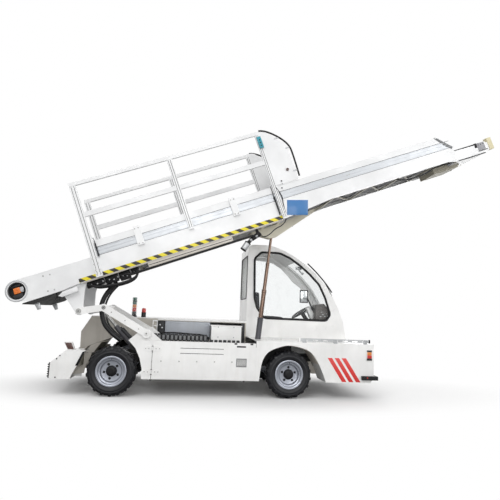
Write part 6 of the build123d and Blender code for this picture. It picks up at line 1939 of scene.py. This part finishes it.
@dataclass
class Studio:
    """Pale floor, soft lamps and the camera."""

    lens: float = 31.70
    sensor: float = 36.0
    shift: float = 0.0047
    camera_place: Vector = field(default_factory=lambda: at(0.9378, -7.2771, 1.1919))
    yaw: float = 0.1352
    pitch: float = 0.1410
    roll: float = 0.0391
    floor_size: float = 90.0

    def camera(self) -> None:
        """Camera at the photograph's place and angle."""
        level = math.cos(self.pitch)
        forward = Vector((math.sin(self.yaw) * level, math.cos(self.yaw) * level, math.sin(self.pitch)))
        flat = Vector((math.cos(self.yaw), -math.sin(self.yaw), 0.0))
        steep = flat.cross(forward)
        right = flat * math.cos(self.roll) + steep * math.sin(self.roll)
        up = steep * math.cos(self.roll) - flat * math.sin(self.roll)
        data = bpy.data.cameras.new("camera")
        data.lens = self.lens
        data.sensor_width = self.sensor
        data.shift_x = self.shift
        data.clip_end = 300.0
        holder = bpy.data.objects.new("camera", data)
        turn = Matrix((right, up, -forward)).transposed().to_4x4()
        holder.matrix_world = Matrix.Translation(self.camera_place) @ turn
        bpy.context.scene.collection.objects.link(holder)
        bpy.context.scene.camera = holder

    def floor(self) -> None:
        """Pale floor that shows white to the camera and keeps the object's shadow."""
        sheet = bmesh.new()
        half = self.floor_size / 2
        corners = ((-half, -half), (half, -half), (half, half), (-half, half))
        sheet.faces.new([sheet.verts.new((x, y, 0.0)) for x, y in corners])
        data = bpy.data.meshes.new("studio_floor")
        sheet.to_mesh(data)
        sheet.free()
        floor = bpy.data.objects.new("studio_floor", data)
        bpy.context.scene.collection.objects.link(floor)
        graph = Graph("studio_floor")
        graph.shader.inputs["Roughness"].default_value = 0.9
        path = graph.tree.nodes.new("ShaderNodeLightPath")
        mottle = graph.mix(graph.noise(0.6, 2.0), (0.90, 0.90, 0.90), (0.92, 0.92, 0.92))
        pale = graph.mix(path.outputs["Is Camera Ray"], (0.42, 0.42, 0.42), mottle)
        graph.link(pale, graph.shader.inputs["Base Color"])
        white = graph.tree.nodes.new("ShaderNodeEmission")
        white.inputs["Strength"].default_value = 1.0
        both = graph.tree.nodes.new("ShaderNodeMixShader")
        reach = graph.tree.nodes.new("ShaderNodeVectorMath")
        reach.operation = "LENGTH"
        graph.link(graph.stretched((0.41, 0.95, 1.0)), reach.inputs[0])
        seen = graph.math("MULTIPLY", graph.ramp(reach.outputs["Value"], 1.08, 2.0, 0.0, 1.0),
                          path.outputs["Is Camera Ray"])
        graph.link(seen, both.inputs["Fac"])
        graph.link(graph.shader.outputs["BSDF"], both.inputs[1])
        graph.link(white.outputs["Emission"], both.inputs[2])
        graph.link(both.outputs["Shader"], graph.output.inputs["Surface"])
        data.materials.append(graph.material)

    def world(self) -> None:
        """White surroundings for the camera, and a plain level of light for the object."""
        world = bpy.data.worlds.new("studio")
        bpy.context.scene.world = world
        world.use_nodes = True
        tree = world.node_tree
        tree.nodes.clear()
        path = tree.nodes.new("ShaderNodeLightPath")
        seen = tree.nodes.new("ShaderNodeMath")
        seen.operation = "MAXIMUM"
        tree.links.new(path.outputs["Is Camera Ray"], seen.inputs[0])
        glossy = tree.nodes.new("ShaderNodeMath")
        glossy.operation = "MAXIMUM"
        tree.links.new(path.outputs["Is Glossy Ray"], glossy.inputs[0])
        tree.links.new(path.outputs["Is Transmission Ray"], glossy.inputs[1])
        tree.links.new(glossy.outputs[0], seen.inputs[1])
        strength = tree.nodes.new("ShaderNodeMapRange")
        strength.inputs["To Min"].default_value = 0.55
        strength.inputs["To Max"].default_value = 1.0
        tree.links.new(seen.outputs[0], strength.inputs["Value"])
        sky = tree.nodes.new("ShaderNodeBackground")
        sky.inputs["Color"].default_value = (1.0, 1.0, 1.0, 1.0)
        tree.links.new(strength.outputs["Result"], sky.inputs["Strength"])
        output = tree.nodes.new("ShaderNodeOutputWorld")
        tree.links.new(sky.outputs[0], output.inputs["Surface"])

    def lamp(self, name: str, place: Point, target: Point, size: float, power: float) -> None:
        """Add one soft lamp.

        Args:
            name: The lamp's name.
            place: Where it stands.
            target: What it points at.
            size: Side of its square.
            power: Watts.
        """
        data = bpy.data.lights.new(name, "AREA")
        data.size = size
        data.energy = power
        holder = bpy.data.objects.new(name, data)
        holder.location = place
        holder.rotation_euler = (Vector(target) - Vector(place)).to_track_quat("-Z", "Y").to_euler()
        bpy.context.scene.collection.objects.link(holder)

    def build(self) -> None:
        """Set up the whole studio."""
        self.camera()
        self.floor()
        self.world()
        self.lamp("key_lamp", (-5.0, -9.0, 9.0), (0.0, 0.0, 1.0), 6.0, 430.0)
        self.lamp("fill_lamp", (7.0, -6.0, 5.0), (0.0, 0.0, 1.0), 6.0, 200.0)
        self.lamp("front_lamp", (0.0, -11.0, 3.0), (0.0, 0.0, 1.0), 5.0, 230.0)
        self.lamp("side_lamp", (6.0, 6.0, 2.0), (0.5, 0.5, 1.5), 5.0, 150.0)
        self.lamp("back_lamp", (2.0, 9.0, 8.0), (0.0, 0.0, 1.0), 6.0, 260.0)


def main() -> None:
    """Build every sub-assembly in order."""
    logging.basicConfig(level=logging.INFO, format="%(name)s %(message)s")
    bpy.context.scene.view_settings.view_transform = "Standard"
    Studio().build()
    finishes = CadFinishes()
    finishes.dress()
    finishes.report()
    for kind in (Wheels, Body, Bay, Cab, LiftGear, Boom, Handrails):
        assembly = kind()
        assembly.build()
        assembly.report()


if __name__ == "__main__":
    main()
